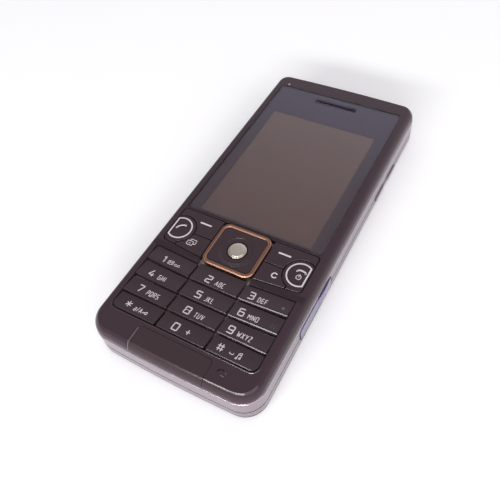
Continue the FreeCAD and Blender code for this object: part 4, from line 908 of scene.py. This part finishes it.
def open_middle(mesh, width):
    """Leaves a rim of one width along the border of a flat sheet."""
    bmesh.ops.inset_region(mesh, faces=mesh.faces[:], thickness=width * MM, use_boundary=True,
                           use_even_offset=True)
    middle = max(mesh.faces, key=lambda face: face.calc_area())
    bmesh.ops.delete(mesh, geom=[middle], context="FACES")


def cut(mesh, place, across, drop=False):
    """Cuts a flat sheet along a plane, and drops what lies beyond it if asked."""
    bmesh.ops.bisect_plane(mesh, geom=mesh.verts[:] + mesh.edges[:] + mesh.faces[:],
                           plane_co=Vector(place) * MM, plane_no=across, clear_outer=drop)


def thicken(mesh, height):
    """Gives a flat sheet its height, and returns the corners of its upper side."""
    wall = bmesh.ops.extrude_face_region(mesh, geom=mesh.faces[:])
    raised = [item for item in wall["geom"] if isinstance(item, bmesh.types.BMVert)]
    bmesh.ops.translate(mesh, verts=raised, vec=(0, 0, height * MM))
    return raised


def field_lip():
    """A fine chamfered lip on the cover along the lower border of the number keys."""
    ring = flat_sheet((-LIP_X, LIP_X), (LIP_Y, LIP_Y + LIP_LENGTH), FACE_Z - LIP_SINK)
    round_end(ring, False, LIP_CORNER, 8)
    open_middle(ring, LIP_WIDTH)
    cut(ring, (0, LIP_Y + LIP_RUN, 0), (0, 1, 0), drop=True)
    raised = thicken(ring, LIP_RISE)
    rims = [edge for edge in ring.edges if all(vertex in raised for vertex in edge.verts)
            and any(face.normal.z < 0.5 for face in edge.link_faces)]
    bmesh.ops.bevel(ring, geom=rims, offset=LIP_CHAMFER * MM, affect="EDGES", segments=1,
                    profile=0.5, material=-1)
    plastic = moulded("lip_plastic", PLUM, 0.14, depth=0.6, spread=0.02, edge=0.03)
    as_piece("field_lip", ring, "housing", plastic)


def shutter_gap_shade():
    """The dark rounded surround that the camera key moves in, flush with the side: painted shade
    for the gap round the key.
    It is made flat, and then stood up at its place."""
    tall = (SHUTTER_HIGH_Z - SHUTTER_LOW_Z) / 2 + SHUTTER_RIM
    long = SHUTTER_HALF + SHUTTER_RIM
    ring = flat_sheet((-tall, tall), (-long, long), 0)
    for upper in (True, False):
        round_end(ring, upper, SHUTTER_CORNER, 6)
    open_middle(ring, SHUTTER_LINE)
    thicken(ring, SHUTTER_DEPTH)
    place = Vector((SHUTTER_INNER_X, SHUTTER_Y, (SHUTTER_LOW_Z + SHUTTER_HIGH_Z) / 2)) * MM
    bmesh.ops.transform(ring, verts=ring.verts,
                        matrix=Matrix.Translation(place) @ Matrix.Rotation(math.pi / 2, 4, "Y"))
    # Painted shade: dark violet where the gap round the camera key is
    recess = moulded("violet_gap_shade", (0.022, 0.015, 0.034), 0.5)
    as_piece("shutter_gap_shade", ring, "housing", recess)


def window_spans(grow):
    """The window's spans across and along, grown on every side, in millimetres."""
    low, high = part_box("display_window")
    return [(low[axis] / MM - grow, high[axis] / MM + grow) for axis in (0, 1)]


def slot_cut(sheet):
    """Opens the print for the earpiece slot."""
    for side in (-1, 1):
        cut(sheet, (side * EAR_HALF_X, 0, 0), (1, 0, 0))
        cut(sheet, (0, EAR_Y + side * EAR_HALF_Y, 0), (0, 1, 0))
    middles = [(face, face.calc_center_median() / MM) for face in sheet.faces]
    inside = [face for face, middle in middles
              if abs(middle.x) < EAR_HALF_X and abs(middle.y - EAR_Y) < EAR_HALF_Y]
    bmesh.ops.delete(sheet, geom=inside, context="FACES")


def window_print():
    """The dark print under the window, a frame round the display."""
    sheet = flat_sheet(*window_spans(-PRINT_INSET), WINDOW_LOW_Z + PRINT_LIFT)
    face, = sheet.faces
    bmesh.ops.inset_individual(sheet, faces=[face], thickness=2 * MM)
    middle = face.calc_center_median().y
    for vertex in face.verts:
        vertex.co.x = math.copysign(DISPLAY_HALF * MM, vertex.co.x)
        vertex.co.y = (DISPLAY_LOW if vertex.co.y < middle else DISPLAY_HIGH) * MM
    bmesh.ops.delete(sheet, geom=[face], context="FACES")
    slot_cut(sheet)
    thicken(sheet, PRINT_RISE)
    as_piece("window_print", sheet, "housing", print_finish())


def window_seal():
    """The dark seal in the fine gap round the window, a little below the face."""
    ring = flat_sheet(*window_spans(SEAL_GAP), WINDOW_LOW_Z + SEAL_LIFT)
    round_end(ring, True, SEAL_HIGH_CORNER, 6)
    round_end(ring, False, SEAL_LOW_CORNER, 6)
    open_middle(ring, SEAL_GAP)
    thicken(ring, SEAL_RISE)
    rubber = moulded("seal_rubber", shade(PLUM, 0.8), 0.45, grain=5000.0)
    as_piece("window_seal", ring, "housing", rubber)


# ---------------- small boxes

def bars(name, body, spans, material, ease=0.0):
    """Small boxes as one piece: each span is a low and a high corner, in millimetres."""
    mesh = bmesh.new()
    for low, high in spans:
        low, high = Vector(low) * MM, Vector(high) * MM
        bmesh.ops.create_cube(mesh, size=1.0, matrix=Matrix.Translation((low + high) / 2)
                              @ Matrix.Diagonal((*(high - low), 1.0)))
    if ease:
        bmesh.ops.bevel(mesh, geom=mesh.edges[:], offset=ease * MM, affect="EDGES", segments=2,
                        profile=0.5, material=-1)
    as_piece(name, mesh, body, material)


def upright(x, y, half_x, half_y, low, high):
    """The span of a small box about a point."""
    return (x - half_x, y - half_y, low), (x + half_x, y + half_y, high)


def connector_contacts(gold):
    """The six spring contacts in the slots of the side connector."""
    spans = [upright(CONTACT_X, y, CONTACT_HALF, CONTACT_HALF, *CONTACT_Z)
             for y in spaced(CONNECTOR_Y, CONNECTOR_PITCH, CONNECTOR_PINS)]
    bars("connector_contacts", "housing", spans, gold, 0.06)


def screw_crosses(dark):
    """The cross recess in the head of each case screw, as near-black bars of painted shade. One bar
    lies a hair deeper.
    """
    arms = ((CROSS_REACH, CROSS_HALF, CROSS_SINK), (CROSS_HALF, CROSS_REACH, CROSS_SINK + 0.001))
    spans = [upright(x, y, half_x, half_y, SCREW_HEAD_Z - sink, SCREW_HEAD_Z + CROSS_STAND)
             for x in (-SCREW_X, SCREW_X) for y in SCREW_YS for half_x, half_y, sink in arms]
    bars("screw_crosses", "housing", spans, dark)


def grille_cloth():
    """Fine cloth behind the loudspeaker's slots."""
    spans = [upright(x, GRILLE_Y, *CLOTH_HALVES, *CLOTH_Z)
             for x in spaced(SPEAKER_X, GRILLE_PITCH, GRILLE_SLOTS)]
    cloth = woven("speaker_cloth", (0.06, 0.06, 0.065), CLOTH_PITCH, 0.8)
    bars("grille_cloth", "housing", spans, cloth)


def battery_details(gold, ink):
    """The battery's contact pads, its plain label and the plus and minus marks."""
    pads = [upright(x, PAD_Y, PAD_HALF, PAD_DEPTH / 2, *PAD_Z) for x in PAD_XS]
    bars("battery_pads", "housing", pads, gold, 0.03)
    label = moulded("label_film", (0.30, 0.31, 0.33), 0.42, grain=4000.0)
    bars("battery_label", "housing", [(LABEL_LOW, LABEL_HIGH)], label, 0.005)
    (left, right), (near, far), line = BORDER_X, BORDER_Y, BORDER_LINE
    sides = [((left, y, BORDER_Z[0]), (right, y + line, BORDER_Z[1])) for y in (near, far - line)]
    sides += [((x, near, BORDER_Z[0]), (x + line, far, BORDER_Z[1])) for x in (left, right - line)]
    marks = [upright(x, MARK_Y, half_x, half_y, *MARK_Z) for x, half_x, half_y in (
        (-MARK_X, MARK_REACH, MARK_HALF), (MARK_X, MARK_REACH, MARK_HALF),
        (MARK_X, MARK_HALF, MARK_REACH))]
    bars("battery_marks", "housing", sides + marks, ink)


def card_contacts(gold):
    """Gold contact fields on the SIM card and contact strips on the memory card."""
    fields = [upright(x, y, *SIM_FIELD_HALVES, *SIM_FIELD_Z)
              for x in spaced(*SIM_FIELD_XS) for y in spaced(*SIM_FIELD_YS)]
    bars("sim_contacts", "sim_card", fields, gold, 0.008)
    strips = [upright(STRIP_X, y, *STRIP_HALVES, *STRIP_Z) for y in spaced(*STRIP_YS)]
    bars("memory_contacts", "memory_card", strips, gold, 0.008)


# ---------------- studio

def floor():
    """A pale paper floor, a little lit where the camera or a reflection sees it."""
    material, tree, skin = blank("floor_paper")
    fibres = pattern(tree, "ShaderNodeTexNoise", in_Scale=40.0, in_Detail=3.0)["Fac"]
    paths = add(tree, "ShaderNodeLightPath")
    seen = calc(tree, "MAXIMUM", paths["Is Camera Ray"],
                calc(tree, "MAXIMUM", paths["Is Glossy Ray"], paths["Is Transmission Ray"]))
    feed(skin, Base_Color=mix(tree, (0.95, 0.95, 0.95), (0.98, 0.98, 0.98), fibres),
         Roughness=0.9, Specular_IOR_Level=0.1, Emission_Color=(1.0, 1.0, 1.0, 1.0),
         Emission_Strength=calc(tree, "MULTIPLY", seen, FLOOR_LIFT))
    mesh = bmesh.new()
    bmesh.ops.create_circle(mesh, cap_ends=True, segments=64, radius=FLOOR_RADIUS)
    ground = as_object("studio_floor", mesh, material)


def lamp(name, place, size, power):
    """A soft panel light that faces the handset."""
    data = bpy.data.lights.new(name, "AREA")
    data.shape = "RECTANGLE"
    data.size, data.size_y = size
    data.energy = power
    light = bpy.data.objects.new(name, data)
    light.location = place
    light.rotation_euler = (-Vector(place)).to_track_quat("-Z", "Y").to_euler()
    bpy.context.scene.collection.objects.link(light)


def surroundings():
    """A soft grey room with a lighter wall behind the handset's far end."""
    world = bpy.data.worlds.new("pale_room")
    bpy.context.scene.world = world
    world.use_nodes = True
    tree = world.node_tree
    towards = add(tree, "ShaderNodeTexCoord")["Generated"]
    ramp = tree.nodes.new("ShaderNodeValToRGB")
    ramp.color_ramp.interpolation = "EASE"
    for element, (position, colour) in zip(ramp.color_ramp.elements, (ROOM_NEAR, ROOM_FAR)):
        element.position = position
        element.color = (*colour, 1.0)
    plug(ramp.inputs["Fac"], add(tree, "ShaderNodeSeparateXYZ", in_Vector=towards)["Y"])
    plug(tree.nodes["Background"].inputs["Color"], ramp.outputs["Color"])


def studio():
    """The floor, the room and two lamps, shown in plain colours."""
    floor()
    surroundings()
    for name, settings in LAMPS.items():
        lamp(name, *settings)
    bpy.context.scene.view_settings.view_transform = "Standard"


def camera():
    """The photo's own view: over the near left corner, a little tilted."""
    data = bpy.data.cameras.new("camera")
    data.sensor_width = EYE_SENSOR
    data.lens = EYE_LENS
    data.shift_x, data.shift_y = EYE_SHIFT
    data.clip_start = EYE_NEAREST
    eye = bpy.data.objects.new("camera", data)
    eye.location = EYE_PLACE
    eye.rotation_euler = [math.radians(angle) for angle in EYE_TURN]
    bpy.context.scene.collection.objects.link(eye)
    bpy.context.scene.camera = eye


# ---------------- assembly

camera()
studio()
dress_nodes()
window_print()
window_seal()
select_key_cap()
dish_rings(key_plastic())
field_lip()
lens_parts()
gold_plate = metal("gold_plate", GOLD, 0.3)
# Near black: the ink of the battery's marks, and painted shade in the screws' cross recesses
dark_ink_and_recess_shade = moulded("dark_ink_and_recess_shade", (0.01, 0.01, 0.011), 0.6)
connector_contacts(gold_plate)
screw_crosses(dark_ink_and_recess_shade)
shutter_gap_shade()
grille_cloth()
battery_details(gold_plate, dark_ink_and_recess_shade)
card_contacts(gold_plate)
legend_ink = ink_finish("legend_ink", LEGEND_INK)
faint_ink_and_highlight = ink_finish("faint_ink_and_painted_highlight", FAINT_INK_AND_HIGHLIGHT)
number_legends(legend_ink, faint_ink_and_highlight)
function_legends(legend_ink)
# Painted highlight: a faint light dash along the lower edge of the microphone hole
microphone_highlight_marks = [(["dash"], 13.45, -49.6, 1.0, 0.2, 1.0)]
inked("microphone_edge_highlight", "front_cover", "housing", microphone_highlight_marks, faint_ink_and_highlight)
